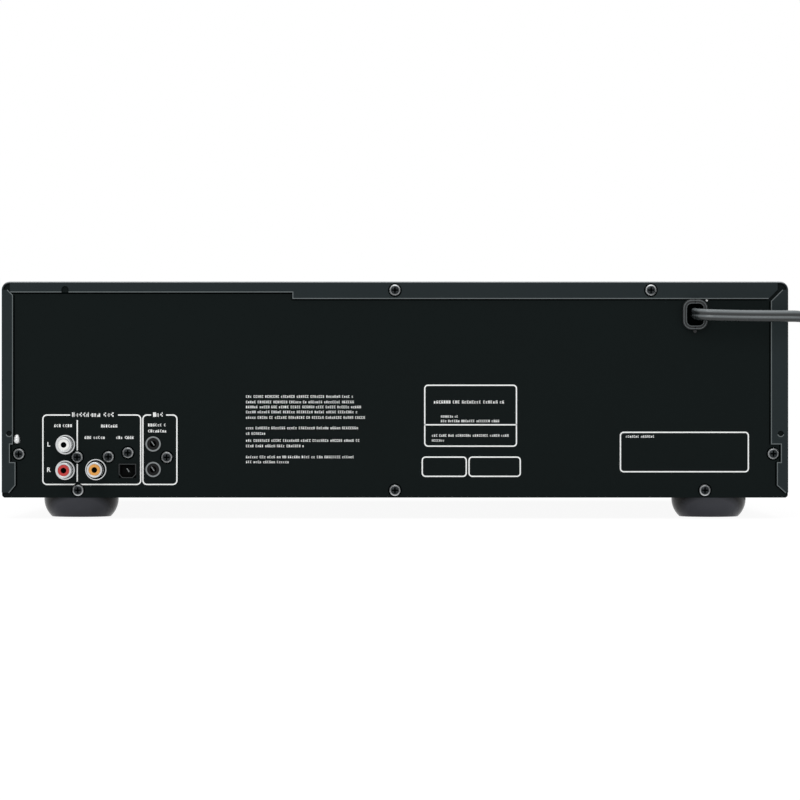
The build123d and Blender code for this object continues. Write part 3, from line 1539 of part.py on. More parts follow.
# The frame that carries the drawer, the loading gears and the lift: two walls with grooved rails, a
# front shelf, a low deck between two webs and a rear beam
frame_middle = (frame_front + frame_rear) / 2
frame_length = frame_rear - frame_front
low_deck_front = cam_front_y + cam_inset
rail_reach = tray_half_width + rail_width + rail_gap
drawer_gear_at = (drawer_gear_x, drawer_gear_y)
pulley_at = (pulley_x, drawer_gear_y)
loading_motor_at = (loading_motor_x, drawer_gear_y)
guides_at = [(0, guide_front_y), (0, guide_rear_y)]
with BuildPart() as loading_frame:
    with BuildSketch(Plane.XY.offset(plate_top)):
        for side in (-1, 1):
            with Locations((side * (frame_half_width - frame_wall / 2), frame_middle)):
                Rectangle(frame_wall, frame_length)
    extrude(amount=frame_top - plate_top)
    with BuildSketch(rear_plane(rail_rear)):
        for side in (-1, 1):
            with Locations((side * (rail_inner + frame_half_width - frame_wall) / 2, rail_block_low)):
                Rectangle(frame_half_width - frame_wall - rail_inner, rail_block_height,
                          align=(Align.CENTER, Align.MIN))
            with Locations((side * rail_reach, rail_bottom - rail_gap)):
                Rectangle(2 * (rail_reach - rail_inner) + groove_lap, rail_thickness + 2 * rail_gap,
                          align=(Align.MAX if side > 0 else Align.MIN, Align.MIN),
                          mode=Mode.SUBTRACT)
    extrude(amount=rail_rear - frame_front)
    with BuildSketch(Plane.XY.offset(front_shelf)):
        with Locations((0, frame_front)):
            Rectangle(2 * frame_half_width, front_shelf_rear - frame_front, align=(Align.CENTER, Align.MIN))
        with Locations(loading_motor_at):
            Circle(motor_shaft_radius + moving_gap, mode=Mode.SUBTRACT)
    extrude(amount=shelf_thickness)
    with BuildSketch(Plane.XY.offset(deck_base)):
        with Locations((0, low_deck_front)):
            Rectangle(2 * (web_x + web_thickness), frame_rear - low_deck_front,
                      align=(Align.CENTER, Align.MIN))
    extrude(amount=frame_wall)
    with BuildSketch(Plane.XY.offset(deck_base)):
        for side in (-1, 1):
            with Locations((side * (web_x + web_thickness / 2), front_shelf_rear - shelf_lap)):
                Rectangle(web_thickness, frame_rear - front_shelf_rear, align=(Align.CENTER, Align.MIN))
    extrude(amount=shelf_top - deck_base)
    with BuildSketch(Plane.XY.offset(beam_low)):
        with Locations((0, frame_rear)):
            Rectangle(2 * frame_half_width, beam_thickness, align=(Align.CENTER, Align.MAX))
    extrude(amount=shelf_top - beam_low)
    with BuildSketch(Plane.XY.offset(deck_top)):
        for edge in (cam_x - moving_gap - rib_thickness, cam_x + cam_thickness + moving_gap):
            with Locations((edge, low_deck_front)):
                Rectangle(rib_thickness, cam_rear_y + cam_travel - cam_front_y, align=(Align.MIN, Align.MIN))
    extrude(amount=rib_height)
    with BuildSketch(Plane.XY.offset(deck_top)):
        with Locations(*guides_at):
            Circle(guide_radius)
    extrude(amount=guide_top - deck_top)
    with BuildSketch(Plane.XY.offset(shelf_top)):
        with Locations(drawer_gear_at):
            Circle(gear_shoulder_radius)
    extrude(amount=wheel_low - running_gap - shelf_top)
    with BuildSketch(Plane.XY.offset(shelf_top)):
        with Locations(drawer_gear_at):
            Circle(gear_post_radius)
    extrude(amount=pinion_low + pinion_height - gear_post_drop - shelf_top)
    with BuildSketch(Plane.XY.offset(shelf_top)):
        with Locations(pulley_at):
            Circle(pulley_shoulder_radius)
    extrude(amount=pulley_low - running_gap - shelf_top)
    with BuildSketch(Plane.XY.offset(shelf_top)):
        with Locations(pulley_at):
            Circle(pulley_post_radius)
    extrude(amount=wheel_low + wheel_height - shelf_top)
loading_frame.part.label = "loading_frame"
export_step(loading_frame.part, "parts/loading_frame.step")

# The loading train: motor and belt, pulley with its pinion, wheel, and the pinion on the rack
with BuildPart() as drawer_gear:
    with BuildSketch(Plane.XY.offset(wheel_low)):
        with Locations(drawer_gear_at):
            add(gear_outline(wheel_module, wheel_teeth))
    extrude(amount=wheel_height)
    with BuildSketch(Plane.XY.offset(wheel_low)):
        with Locations(drawer_gear_at):
            Circle(gear_shoulder_radius + gear_boss)
    extrude(amount=pinion_low - wheel_low)
    with BuildSketch(Plane.XY.offset(pinion_low)):
        with Locations(drawer_gear_at):
            add(gear_outline(drawer_gear_module, drawer_gear_teeth, 180))
    extrude(amount=pinion_height)
    with BuildSketch(Plane.XY.offset(wheel_low)):
        with Locations(drawer_gear_at):
            Circle(gear_post_radius + running_gap)
    extrude(amount=pinion_low + pinion_height - wheel_low, mode=Mode.SUBTRACT)
drawer_gear.part.label = "drawer_gear"
export_step(drawer_gear.part, "parts/drawer_gear.step")

groove_middle = pulley_low + pulley_height / 2
groove_low = groove_middle - groove_height / 2
with BuildPart() as loading_pulley:
    with BuildSketch(Plane.XY.offset(pulley_low)):
        with Locations(pulley_at):
            Circle(pulley_radius)
    extrude(amount=pulley_height)
    with BuildSketch(Plane.XY.offset(groove_low)):
        with Locations(pulley_at):
            Circle(pulley_radius)
            Circle(pulley_radius - groove_depth, mode=Mode.SUBTRACT)
    extrude(amount=groove_height, mode=Mode.SUBTRACT)
    with BuildSketch(Plane.XY.offset(pulley_low + pulley_height)):
        with Locations(pulley_at):
            add(gear_outline(wheel_module, pulley_teeth, 180 + 180 / pulley_teeth))
    extrude(amount=wheel_low + wheel_height - pulley_low - pulley_height)
    with BuildSketch(Plane.XY.offset(pulley_low)):
        with Locations(pulley_at):
            Circle(pulley_post_radius + running_gap)
    extrude(amount=wheel_low + wheel_height - pulley_low, mode=Mode.SUBTRACT)
loading_pulley.part.label = "loading_pulley"
export_step(loading_pulley.part, "parts/loading_pulley.step")

with BuildPart() as loading_motor:
    with BuildSketch(Plane.XY.offset(front_shelf - loading_can_height)):
        with Locations(loading_motor_at):
            Circle(loading_can_radius)
    extrude(amount=loading_can_height)
    with BuildSketch(Plane.XY.offset(front_shelf)):
        with Locations(loading_motor_at):
            Circle(motor_shaft_radius)
    extrude(amount=pulley_low - front_shelf)
    with BuildSketch(Plane.XY.offset(pulley_low)):
        with Locations(loading_motor_at):
            Circle(motor_pulley_radius)
    extrude(amount=pulley_height)
    with BuildSketch(Plane.XY.offset(groove_low)):
        with Locations(loading_motor_at):
            Circle(motor_pulley_radius)
            Circle(motor_pulley_radius - groove_depth, mode=Mode.SUBTRACT)
    extrude(amount=groove_height, mode=Mode.SUBTRACT)
loading_motor.part.label = "loading_motor"
export_step(loading_motor.part, "parts/loading_motor.step")


def belt_outline(offset):
    """A loop round both grooves, this far out from their floors."""
    large = pulley_radius - groove_depth + offset
    small = motor_pulley_radius - groove_depth + offset
    lean = acos((large - small) / motor_distance)
    y = drawer_gear_y
    large_top = (pulley_x + large * cos(lean), y + large * sin(lean))
    large_low = (pulley_x + large * cos(lean), y - large * sin(lean))
    small_top = (loading_motor_x + small * cos(lean), y + small * sin(lean))
    small_low = (loading_motor_x + small * cos(lean), y - small * sin(lean))
    with BuildSketch() as loop:
        with BuildLine():
            ThreePointArc(large_top, (pulley_x - large, y), large_low)
            Line(large_low, small_low)
            ThreePointArc(small_low, (loading_motor_x + small, y), small_top)
            Line(small_top, large_top)
        make_face()
    return loop.sketch


with BuildPart() as loading_belt:
    with BuildSketch(Plane.XY.offset(groove_middle - belt_height / 2)):
        add(belt_outline(belt_gap + belt_thickness))
        add(belt_outline(belt_gap), mode=Mode.SUBTRACT)
    extrude(amount=belt_height)
loading_belt.part.label = "loading_belt"
export_step(loading_belt.part, "parts/loading_belt.step")

# The lift: a slotted slider raises a ring that rides on two guide posts
lift_posts = [
    (side * (deck_half_x - lift_post_side), y)
    for side in (-1, 1)
    for y in (deck_front_y + lift_post_inset, deck_rear_y - lift_post_inset)
]
with BuildPart() as cam_slider:
    with BuildSketch(Plane.YZ.offset(cam_x)):
        with Locations((cam_front_y, cam_bottom)):
            Rectangle(cam_rear_y - cam_front_y, cam_top - cam_bottom, align=(Align.MIN, Align.MIN))
        for pin_y in (pin_front_y, pin_rear_y):
            middle = (pin_y - cam_travel / 2, pin_z + lift_travel / 2)
            slope = degrees(atan2(-lift_travel, cam_travel))
            with Locations(middle):
                SlotCenterToCenter(hypot(cam_travel, lift_travel), 2 * cam_slot_half, rotation=slope,
                                   mode=Mode.SUBTRACT)
    extrude(amount=cam_thickness)
cam_slider.part.label = "cam_slider"
export_step(cam_slider.part, "parts/cam_slider.step")

lift_length = lift_rear_y - lift_front_y
lift_middle = (lift_front_y + lift_rear_y) / 2
with BuildPart() as lift_frame:
    with BuildSketch(Plane.XY.offset(lift_bottom)):
        with Locations((0, lift_middle)):
            Rectangle(2 * lift_half_x, lift_length)
            Rectangle(2 * (lift_half_x - lift_bar), lift_length - 2 * lift_bar, mode=Mode.SUBTRACT)
        with Locations(*guides_at):
            Circle(ear_radius)
            Rectangle(2 * ear_radius, 2 * (ear_radius + ear_reach))
        with Locations((0, lift_middle)):
            Rectangle(4 * ear_radius, lift_length - 2 * lift_bar, mode=Mode.SUBTRACT)
        with Locations(*guides_at):
            Circle(guide_radius + ear_gap, mode=Mode.SUBTRACT)
    extrude(amount=lift_top - lift_bottom)
    with BuildSketch(Plane.XY.offset(lift_top)):
        with Locations(*lift_posts):
            Circle(lift_post_radius)
    extrude(amount=deck_bottom - lift_top)
    with BuildSketch(Plane.YZ.offset(lift_half_x - pin_root)):
        with Locations((pin_front_y, pin_z), (pin_rear_y, pin_z)):
            Circle(pin_radius)
    extrude(amount=cam_x + cam_thickness + pin_reach - lift_half_x + pin_root)
lift_frame.part.label = "lift_frame"
export_step(lift_frame.part, "parts/lift_frame.step")

# The pickup deck: it carries the spindle motor, the rods and the sled gear
rod_block_top = deck_bottom + rod_block_height
rod_ends = [rod_front_y + rod_block_depth / 2, rod_rear_y - rod_block_depth / 2]
sled_gear_at = (sled_gear_x, sled_gear_y)
deck_slot_low = rod_front_y + deck_slot_front
deck_slot_high = rod_rear_y - deck_slot_rear
with BuildPart() as pickup_deck:
    with BuildSketch(Plane.XY.offset(deck_bottom)):
        with Locations((0, (deck_front_y + deck_rear_y) / 2)):
            RectangleRounded(2 * deck_half_x, deck_rear_y - deck_front_y, deck_corner)
        with Locations((0, (deck_slot_low + deck_slot_high) / 2)):
            RectangleRounded(2 * deck_slot_half, deck_slot_high - deck_slot_low, deck_corner,
                             mode=Mode.SUBTRACT)
    extrude(amount=deck_thickness)
    with BuildSketch(Plane.XY.offset(deck_top_z)):
        with Locations(*[(side * rod_x, y) for side in (-1, 1) for y in rod_ends]):
            Rectangle(rod_block, rod_block_depth)
    extrude(amount=rod_block_top - deck_top_z)
    with BuildSketch(rear_plane(rod_rear_y)):
        with Locations((rod_x, rod_z), (-rod_x, rod_z)):
            Circle(rod_radius)
    extrude(amount=rod_rear_y - rod_front_y, mode=Mode.SUBTRACT)
    with BuildSketch(Plane.XY.offset(deck_top_z)):
        with Locations(sled_gear_at):
            Circle(sled_shoulder_radius)
    extrude(amount=sled_gear_z - running_gap - deck_top_z)
    with BuildSketch(Plane.XY.offset(deck_top_z)):
        with Locations(sled_gear_at):
            Circle(sled_pin_radius)
    extrude(amount=sled_gear_z + sled_gear_height + sled_pin_reach - deck_top_z)
pickup_deck.part.label = "pickup_deck"
export_step(pickup_deck.part, "parts/pickup_deck.step")

with BuildPart() as guide_rods:
    with BuildSketch(rear_plane(rod_rear_y)):
        with Locations((rod_x, rod_z), (-rod_x, rod_z)):
            Circle(rod_radius)
    extrude(amount=rod_rear_y - rod_front_y)
guide_rods.part.label = "guide_rods"
export_step(guide_rods.part, "parts/guide_rods.step")

with BuildPart() as sled_gear:
    with BuildSketch(Plane.XY.offset(sled_gear_z)):
        with Locations(sled_gear_at):
            add(gear_outline(sled_module, sled_teeth, 180))
            Circle(sled_pin_radius + running_gap, mode=Mode.SUBTRACT)
    extrude(amount=sled_gear_height)
sled_gear.part.label = "sled_gear"
export_step(sled_gear.part, "parts/sled_gear.step")

with BuildPart() as laser_pickup:
    with BuildSketch(Plane.XY.offset(pickup_bottom)):
        with Locations((0, lens_y)):
            RectangleRounded(2 * pickup_half_x, 2 * pickup_half_y, pickup_corner)
    extrude(amount=pickup_top - pickup_bottom)
    with BuildSketch(Plane.XY.offset(pickup_top)):
        with Locations((0, lens_y)):
            Circle(lens_radius + lens_rim)
    extrude(amount=lens_rim_height)
    with BuildSketch(Plane.XY.offset(pickup_top)):
        with Locations((0, lens_y)):
            Circle(lens_radius)
    extrude(amount=lens_top - pickup_top)
    fillet(laser_pickup.faces().sort_by(Axis.Z)[-1].edges(), lens_round)
    with BuildSketch(Plane.XY.offset(sled_gear_z)):
        add(rack_outline(sled_module, sled_rack_x, pickup_half_x - sled_rack_lap,
                         lens_y - pickup_half_y + sled_rack_inset, sled_rack_rear, sled_gear_y))
    extrude(amount=sled_gear_height)
    with BuildSketch(rear_plane(lens_y + pickup_half_y)):
        with Locations((rod_x, rod_z), (-rod_x, rod_z)):
            Circle(rod_radius + rod_gap)
    extrude(amount=2 * pickup_half_y, mode=Mode.SUBTRACT)
laser_pickup.part.label = "laser_pickup"
export_step(laser_pickup.part, "parts/laser_pickup.step")

seat_at = (0, seat_y)
shaft_top = seat_z - shaft_drop
with BuildPart() as spindle_motor:
    with BuildSketch(Plane.XY.offset(deck_top_z)):
        with Locations(seat_at):
            Circle(spindle_motor_radius)
    extrude(amount=spindle_motor_height)
    with BuildSketch(Plane.XY.offset(deck_top_z)):
        with Locations(seat_at):
            Circle(shaft_radius)
    extrude(amount=shaft_top - deck_top_z)
spindle_motor.part.label = "spindle_motor"
export_step(spindle_motor.part, "parts/spindle_motor.step")

with BuildPart() as turntable:
    with BuildSketch(Plane.XY.offset(seat_z - turntable_thickness)):
        with Locations(seat_at):
            Circle(turntable_radius)
    extrude(amount=turntable_thickness)
    with BuildSketch(Plane.XY.offset(seat_z)):
        with Locations(seat_at):
            Circle(spindle_cone_radius)
    extrude(amount=spindle_cone_height)
    chamfer(turntable.faces().sort_by(Axis.Z)[-1].edges(), spindle_cone_chamfer)
    with BuildSketch(Plane.XY.offset(seat_z - turntable_thickness)):
        with Locations(seat_at):
            Circle(shaft_radius + running_gap)
    extrude(amount=shaft_top + moving_gap - seat_z + turntable_thickness, mode=Mode.SUBTRACT)
turntable.part.label = "turntable"
export_step(turntable.part, "parts/turntable.step")

# The clamper hangs in a bridge over the play position
bridge_top = bridge_bottom + bridge_thickness
cap_low = bridge_top + clamper_cap_gap
clamper_neck_radius = clamper_hole_radius - clamper_neck_gap
with BuildPart() as clamper_bridge:
    with BuildSketch(Plane.XY.offset(bridge_bottom)):
        with Locations(seat_at):
            Rectangle(2 * frame_half_width, 2 * bridge_half_depth)
            Circle(clamper_hole_radius, mode=Mode.SUBTRACT)
    extrude(amount=bridge_thickness)
    with BuildSketch(Plane.XY.offset(frame_top)):
        for side in (-1, 1):
            with Locations((side * (frame_half_width - frame_wall / 2), seat_y)):
                Rectangle(frame_wall, 2 * bridge_half_depth)
    extrude(amount=bridge_bottom - frame_top)
    with BuildSketch(Plane.XY.offset(bridge_top)):
        for side in (-1, 1):
            with Locations((0, seat_y + side * (bridge_half_depth - bridge_thickness / 2))):
                Rectangle(2 * frame_half_width, bridge_thickness)
    extrude(amount=bridge_flange)
clamper_bridge.part.label = "clamper_bridge"
export_step(clamper_bridge.part, "parts/clamper_bridge.step")

with BuildPart() as clamper:
    for low, high, radius in ((clamper_low, clamper_top, clamper_radius),
                              (clamper_top, cap_low, clamper_neck_radius),
                              (cap_low, cap_low + clamper_cap_height, clamper_cap_radius)):
        with BuildSketch(Plane.XY.offset(low)):
            with Locations(seat_at):
                Circle(radius)
        extrude(amount=high - low)
    with BuildSketch(Plane.XY.offset(clamper_low)):
        with Locations(seat_at):
            Circle(clamper_recess_radius)
    extrude(amount=clamper_flange - clamper_skin, mode=Mode.SUBTRACT)
clamper.part.label = "clamper"
export_step(clamper.part, "parts/clamper.step")

# The transformer: a laminated core with two windows and the winding on its middle limb
transformer_at = (transformer_x, transformer_y)
core_window = (transformer_width - 3 * core_limb) / 2
core_rear = transformer_y + core_depth / 2
core_middle = plate_top + transformer_height / 2
winding_height = transformer_height - 2 * core_limb - 2 * moving_gap
with BuildPart() as transformer_core:
    with BuildSketch(rear_plane(core_rear)):
        with Locations((transformer_x, core_middle)):
            Rectangle(transformer_width, transformer_height)
        for side in (-1, 1):
            with Locations((transformer_x + side * (core_limb + core_window) / 2, core_middle)):
                Rectangle(core_window, transformer_height - 2 * core_limb, mode=Mode.SUBTRACT)
    extrude(amount=core_depth)
    with BuildSketch(Plane.XY.offset(plate_top)):
        with Locations(transformer_at):
            Rectangle(transformer_width + 2 * tab_reach, core_depth - 2 * tab_inset)
    extrude(amount=tab_thickness)
transformer_core.part.label = "transformer_core"
export_step(transformer_core.part, "parts/transformer_core.step")

with BuildPart() as transformer_winding:
    with BuildSketch(Plane.XY.offset(core_middle - winding_height / 2)):
        with Locations(transformer_at):
            RectangleRounded(core_limb + 2 * core_window - 2 * moving_gap, transformer_depth, winding_round)
            Rectangle(core_limb + 2 * press_gap, core_depth + 2 * press_gap, mode=Mode.SUBTRACT)
    extrude(amount=winding_height)
transformer_winding.part.label = "transformer_winding"
export_step(transformer_winding.part, "parts/transformer_winding.step")

# The main board on its posts, and its larger components: each one's place from the board's front left
# corner, then its width, depth and height, or its radius and height
boxes = [
    (48.0, 62.0, 26.0, 26.0, 3.0),
    (16.0, 76.0, 18.0, 10.0, 4.0),
    (22.0, 107.0, 20.0, 12.0, 15.0),
    (66.0, 16.0, 44.0, 9.0, 28.0),
    (9.0, 42.0, 8.0, 22.0, 8.0),
]
drums = [
    (16.0, 22.0, 8.0, 22.0),
    (34.0, 36.0, 6.5, 20.0),
    (80.0, 50.0, 4.0, 11.0),
    (80.0, 64.0, 4.0, 11.0),
    (80.0, 78.0, 4.0, 11.0),
    (58.0, 96.0, 5.0, 12.0),
]
with BuildPart() as main_board:
    with BuildSketch(Plane.XY.offset(board_top - board_thickness)):
        with Locations((board_left, board_front)):
            Rectangle(board_right - board_left, board_rear - board_front, align=(Align.MIN, Align.MIN))
    extrude(amount=board_thickness)
main_board.part.label = "main_board"
export_step(main_board.part, "parts/main_board.step")

with BuildPart() as board_parts:
    for x, y, width, depth, height in boxes:
        with BuildSketch(Plane.XY.offset(board_top)):
            with Locations((board_left + x, board_front + y)):
                Rectangle(width, depth)
        extrude(amount=height)
    for x, y, radius, height in drums:
        with BuildSketch(Plane.XY.offset(board_top)):
            with Locations((board_left + x, board_front + y)):
                Circle(radius)
        extrude(amount=height)
board_parts.part.label = "board_parts"
export_step(board_parts.part, "parts/board_parts.step")
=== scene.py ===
"""Looks of a carousel disc changer: its finishes, printed legends, mains lead, light and camera.

Metres, in the part's own frame: +Z is up, the rear panel faces +Y and the controls face -Y.
"""

import json
import math
import random

import bmesh
import bpy
from mathutils import Matrix, Vector


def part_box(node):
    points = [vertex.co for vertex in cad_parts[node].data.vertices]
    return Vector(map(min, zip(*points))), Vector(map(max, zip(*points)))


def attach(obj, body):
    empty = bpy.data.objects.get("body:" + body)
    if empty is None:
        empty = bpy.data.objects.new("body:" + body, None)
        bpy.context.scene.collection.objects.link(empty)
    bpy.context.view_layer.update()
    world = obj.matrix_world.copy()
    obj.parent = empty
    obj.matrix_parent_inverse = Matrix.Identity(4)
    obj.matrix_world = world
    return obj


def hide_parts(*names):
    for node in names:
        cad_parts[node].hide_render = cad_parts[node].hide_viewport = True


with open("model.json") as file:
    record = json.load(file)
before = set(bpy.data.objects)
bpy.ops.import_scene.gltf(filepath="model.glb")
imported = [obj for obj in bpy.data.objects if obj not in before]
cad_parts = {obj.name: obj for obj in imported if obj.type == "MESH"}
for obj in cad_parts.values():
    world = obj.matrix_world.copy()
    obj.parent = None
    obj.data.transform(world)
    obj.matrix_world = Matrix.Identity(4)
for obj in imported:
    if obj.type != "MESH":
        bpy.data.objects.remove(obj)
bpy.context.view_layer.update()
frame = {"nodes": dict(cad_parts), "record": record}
nodes = frame["nodes"]

PANEL_Y = 0.205
FLAP_Y = 0.206
FRONT_Y = -0.203
CASE_TOP = 0.131
HALF_WIDTH = 0.2175
PHOTO_SCALE = 1809.0
PHOTO_X = 395.0
PHOTO_Z = 0.0655
PRINT_LIFT = 0.00005
DISCS = 6


def photo(px, py):
    """The (x, z) on the rear panel that a pixel of the photograph shows."""
    return (PHOTO_X - px) / PHOTO_SCALE, PHOTO_Z + (400.0 - py) / PHOTO_SCALE


def linear(*srgb):
    """A colour given as 0-255 screen values, as the shader wants it."""
    shares = [c / 255 for c in srgb]
    return tuple(v / 12.92 if v <= 0.04045 else ((v + 0.055) / 1.055) ** 2.4 for v in shares)


# Camera: level with the middle of the rear, straight on
CAMERA_X = -0.0028
CAMERA_DISTANCE = 2.2
camera_data = bpy.data.cameras.new("camera")
camera_data.lens = 179.0
camera_data.sensor_width = 36.0
camera_data.clip_end = 20.0
camera = bpy.data.objects.new("camera", camera_data)
camera.location = (CAMERA_X, PANEL_Y + CAMERA_DISTANCE, PHOTO_Z)
camera.rotation_euler = (math.pi / 2, 0, math.pi)
bpy.context.collection.objects.link(camera)
bpy.context.scene.camera = camera

# The mains lead: one flat twin on its edge, from the bushing round the corner to a tied coil
CORD_WIDTH = 0.0064
LOBE_RADIUS = 0.0018
LOBE_POINTS = 13
GROOVE_ANGLE = 0.12
LAY_GAP = 0.00055
LAY_Z = CORD_WIDTH / 2 + LAY_GAP
COIL_X = -0.328
COIL_Y = -0.015
COIL_RADIUS = 0.041
COIL_STEP = 0.0043
COIL_LAYER = 0.0072
COIL_HALF_TURNS = 5
POINTS_PER_HALF_TURN = 8

route = [
    (-0.1655, 0.206, 0.1132),
    (-0.1655, 0.2200, 0.1124),
    (-0.1870, 0.2190, 0.1118),
    (-0.2080, 0.2205, 0.1116),
    (-0.2250, 0.2200, 0.1116),
    (-0.2285, 0.2000, 0.1098),
    (-0.2355, 0.1740, 0.1020),
    (-0.2430, 0.1500, 0.0860),
    (-0.2500, 0.1280, 0.0640),
    (-0.2565, 0.1060, 0.0410),
    (-0.2630, 0.0840, 0.0200),
    (-0.2710, 0.0610, LAY_Z + 0.0025),
    (-0.2860, 0.0390, LAY_Z),
    (-0.3040, COIL_Y + COIL_RADIUS, LAY_Z),
    (COIL_X + CORD_WIDTH, COIL_Y + COIL_RADIUS, LAY_Z),
]


def coil_points():
    """The coil's control points: half turns that shrink step by step, climb a layer and grow again."""
    points = []
    y = COIL_Y + COIL_RADIUS
    z = LAY_Z
    side = 1
    diameter = 2 * COIL_RADIUS - COIL_STEP / 2
    steps = [-COIL_STEP] * COIL_HALF_TURNS + [COIL_STEP] * COIL_HALF_TURNS + [0]
    reach = 1 / math.cos(math.pi / 2 / POINTS_PER_HALF_TURN)
    for number, step in enumerate(steps):
        climb = COIL_LAYER if number == COIL_HALF_TURNS else 0
        for k in range(POINTS_PER_HALF_TURN):
            part = (k + 0.5) / POINTS_PER_HALF_TURN
            angle = math.pi * part
            radius = diameter / 2 * reach
            points.append((COIL_X - side * radius * math.sin(angle),
                           y - side * diameter / 2 + side * radius * math.cos(angle), z + climb * part))
        y -= side * diameter
        z += climb
        side = -side
        diameter += step
    points.append((COIL_X + CORD_WIDTH, y, z))
    return points


def profile_curve():
    """The flat twin's outline, in radii of a lobe: two round lobes that meet in a groove."""
    data = bpy.data.curves.new("lead_profile", "CURVE")
    data.dimensions = "2D"
    spline = data.splines.new("POLY")
    offset = CORD_WIDTH / 2 / LOBE_RADIUS - 1
    neck = math.acos(offset) + GROOVE_ANGLE
    outline = []
    for sign in (1, -1):
        for k in range(LOBE_POINTS):
            angle = -math.pi + neck + (2 * math.pi - 2 * neck) * k / (LOBE_POINTS - 1)
            outline.append((sign * (offset + math.cos(angle)), sign * math.sin(angle)))
    spline.points.add(len(outline) - 1)
    for point, (x, y) in zip(spline.points, outline):
        point.co = (y, x, 0, 1)
    spline.use_cyclic_u = True
    shape = bpy.data.objects.new("lead_profile", data)
    bpy.context.collection.objects.link(shape)
    shape.hide_render = True
    return shape


lead_data = bpy.data.curves.new("lead", "CURVE")
lead_data.dimensions = "3D"
lead_data.resolution_u = 8
lead_data.bevel_mode = "OBJECT"
lead_data.bevel_object = profile_curve()
lead_data.use_fill_caps = True
lead_data.twist_mode = "Z_UP"
lead_spline = lead_data.splines.new("NURBS")
lead_points = route + coil_points()
lead_spline.points.add(len(lead_points) - 1)
for spline_point, place in zip(lead_spline.points, lead_points):
    spline_point.co = (*place, 1)
    spline_point.radius = LOBE_RADIUS
lead_spline.order_u = 3
lead_spline.use_endpoint_u = True
lead = bpy.data.objects.new("mains_lead", lead_data)
bpy.context.collection.objects.link(lead)
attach(lead, "case")
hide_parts("power_cord", "cord_coil")


# Materials: a mottled colour, an uneven gloss and a fine grain, each as strong as its finish needs
COAT_ROUGHNESS = 0.12
BUMP_DEPTH = 0.0001
finishes = {}


def surface(name, color, roughness=0.5, metallic=0.0, specular=0.5, coat=0.0, mottle=0.12,
            mottle_scale=40.0, grain=0.2, grain_scale=2500.0, gloss=0.08, edge=0.0):
    """A finish: mottled colour, roughness that varies by gloss, fine bump, and edges softened by edge.

    finishes keeps it under its plain name, which a material of the solids may already have.
    """
    made = bpy.data.materials.new(name)
    finishes[name] = made
    made.use_nodes = True
    tree = made.node_tree
    shader = tree.nodes["Principled BSDF"]
    shader.inputs["Metallic"].default_value = metallic
    shader.inputs["Specular IOR Level"].default_value = specular
    shader.inputs["Coat Weight"].default_value = coat
    shader.inputs["Coat Roughness"].default_value = COAT_ROUGHNESS
    place = tree.nodes.new("ShaderNodeTexCoord")

    def noise(scale, detail):
        texture = tree.nodes.new("ShaderNodeTexNoise")
        texture.inputs["Scale"].default_value = scale
        texture.inputs["Detail"].default_value = detail
        tree.links.new(place.outputs["Object"], texture.inputs["Vector"])
        return texture

    broad = noise(mottle_scale, 3.0)
    mix = tree.nodes.new("ShaderNodeMix")
    mix.data_type = "RGBA"
    mix.inputs["A"].default_value = (*(c * (1 - mottle) for c in color), 1)
    mix.inputs["B"].default_value = (*(min(1, c * (1 + mottle)) for c in color), 1)
    tree.links.new(broad.outputs["Fac"], mix.inputs["Factor"])
    tree.links.new(mix.outputs["Result"], shader.inputs["Base Color"])
    spread = tree.nodes.new("ShaderNodeMapRange")
    spread.inputs["To Min"].default_value = max(0.02, roughness - gloss)
    spread.inputs["To Max"].default_value = min(1.0, roughness + gloss)
    tree.links.new(broad.outputs["Fac"], spread.inputs["Value"])
    tree.links.new(spread.outputs["Result"], shader.inputs["Roughness"])
    fine = noise(grain_scale, 2.0)
    bump = tree.nodes.new("ShaderNodeBump")
    bump.inputs["Strength"].default_value = grain
    bump.inputs["Distance"].default_value = BUMP_DEPTH
    tree.links.new(fine.outputs["Fac"], bump.inputs["Height"])
    if edge:
        rounded = tree.nodes.new("ShaderNodeBevel")
        rounded.inputs["Radius"].default_value = edge
        tree.links.new(rounded.outputs["Normal"], bump.inputs["Normal"])
    tree.links.new(bump.outputs["Normal"], shader.inputs["Normal"])
    return made


def paint_light_by_facing(name, color, axis, stops, fall=0.0):
    """Paints light and shade into a finish: mixes a colour in by how squarely it faces along an axis.
    stops are (facing, share).

    fall takes that much off the facing for each metre of height.
    """
    tree = finishes[name].node_tree
    base = tree.nodes["Principled BSDF"].inputs["Base Color"]
    plain = base.links[0].from_socket
    geometry = tree.nodes.new("ShaderNodeNewGeometry")
    facing = tree.nodes.new("ShaderNodeVectorMath")
    facing.operation = "DOT_PRODUCT"
    facing.inputs[1].default_value = Vector(axis).normalized()
    tree.links.new(geometry.outputs["Normal"], facing.inputs[0])
    ramp = tree.nodes.new("ShaderNodeValToRGB")
    elements = ramp.color_ramp.elements
    for number, (at, share) in enumerate(stops):
        element = elements[number] if number < 2 else elements.new(at)
        element.position = at
        element.color = (share, share, share, 1)
    height = tree.nodes.new("ShaderNodeSeparateXYZ")
    tree.links.new(geometry.outputs["Position"], height.inputs["Vector"])
    lowered = tree.nodes.new("ShaderNodeMath")
    lowered.operation = "MULTIPLY_ADD"
    lowered.inputs[1].default_value = -fall
    tree.links.new(height.outputs["Z"], lowered.inputs[0])
    tree.links.new(facing.outputs["Value"], lowered.inputs[2])
    tree.links.new(lowered.outputs["Value"], ramp.inputs["Fac"])
    mix = tree.nodes.new("ShaderNodeMix")
    mix.data_type = "RGBA"
    mix.inputs["B"].default_value = (*color, 1)
    tree.links.new(ramp.outputs["Color"], mix.inputs["Factor"])
    tree.links.new(plain, mix.inputs["A"])
    tree.links.new(mix.outputs["Result"], base)


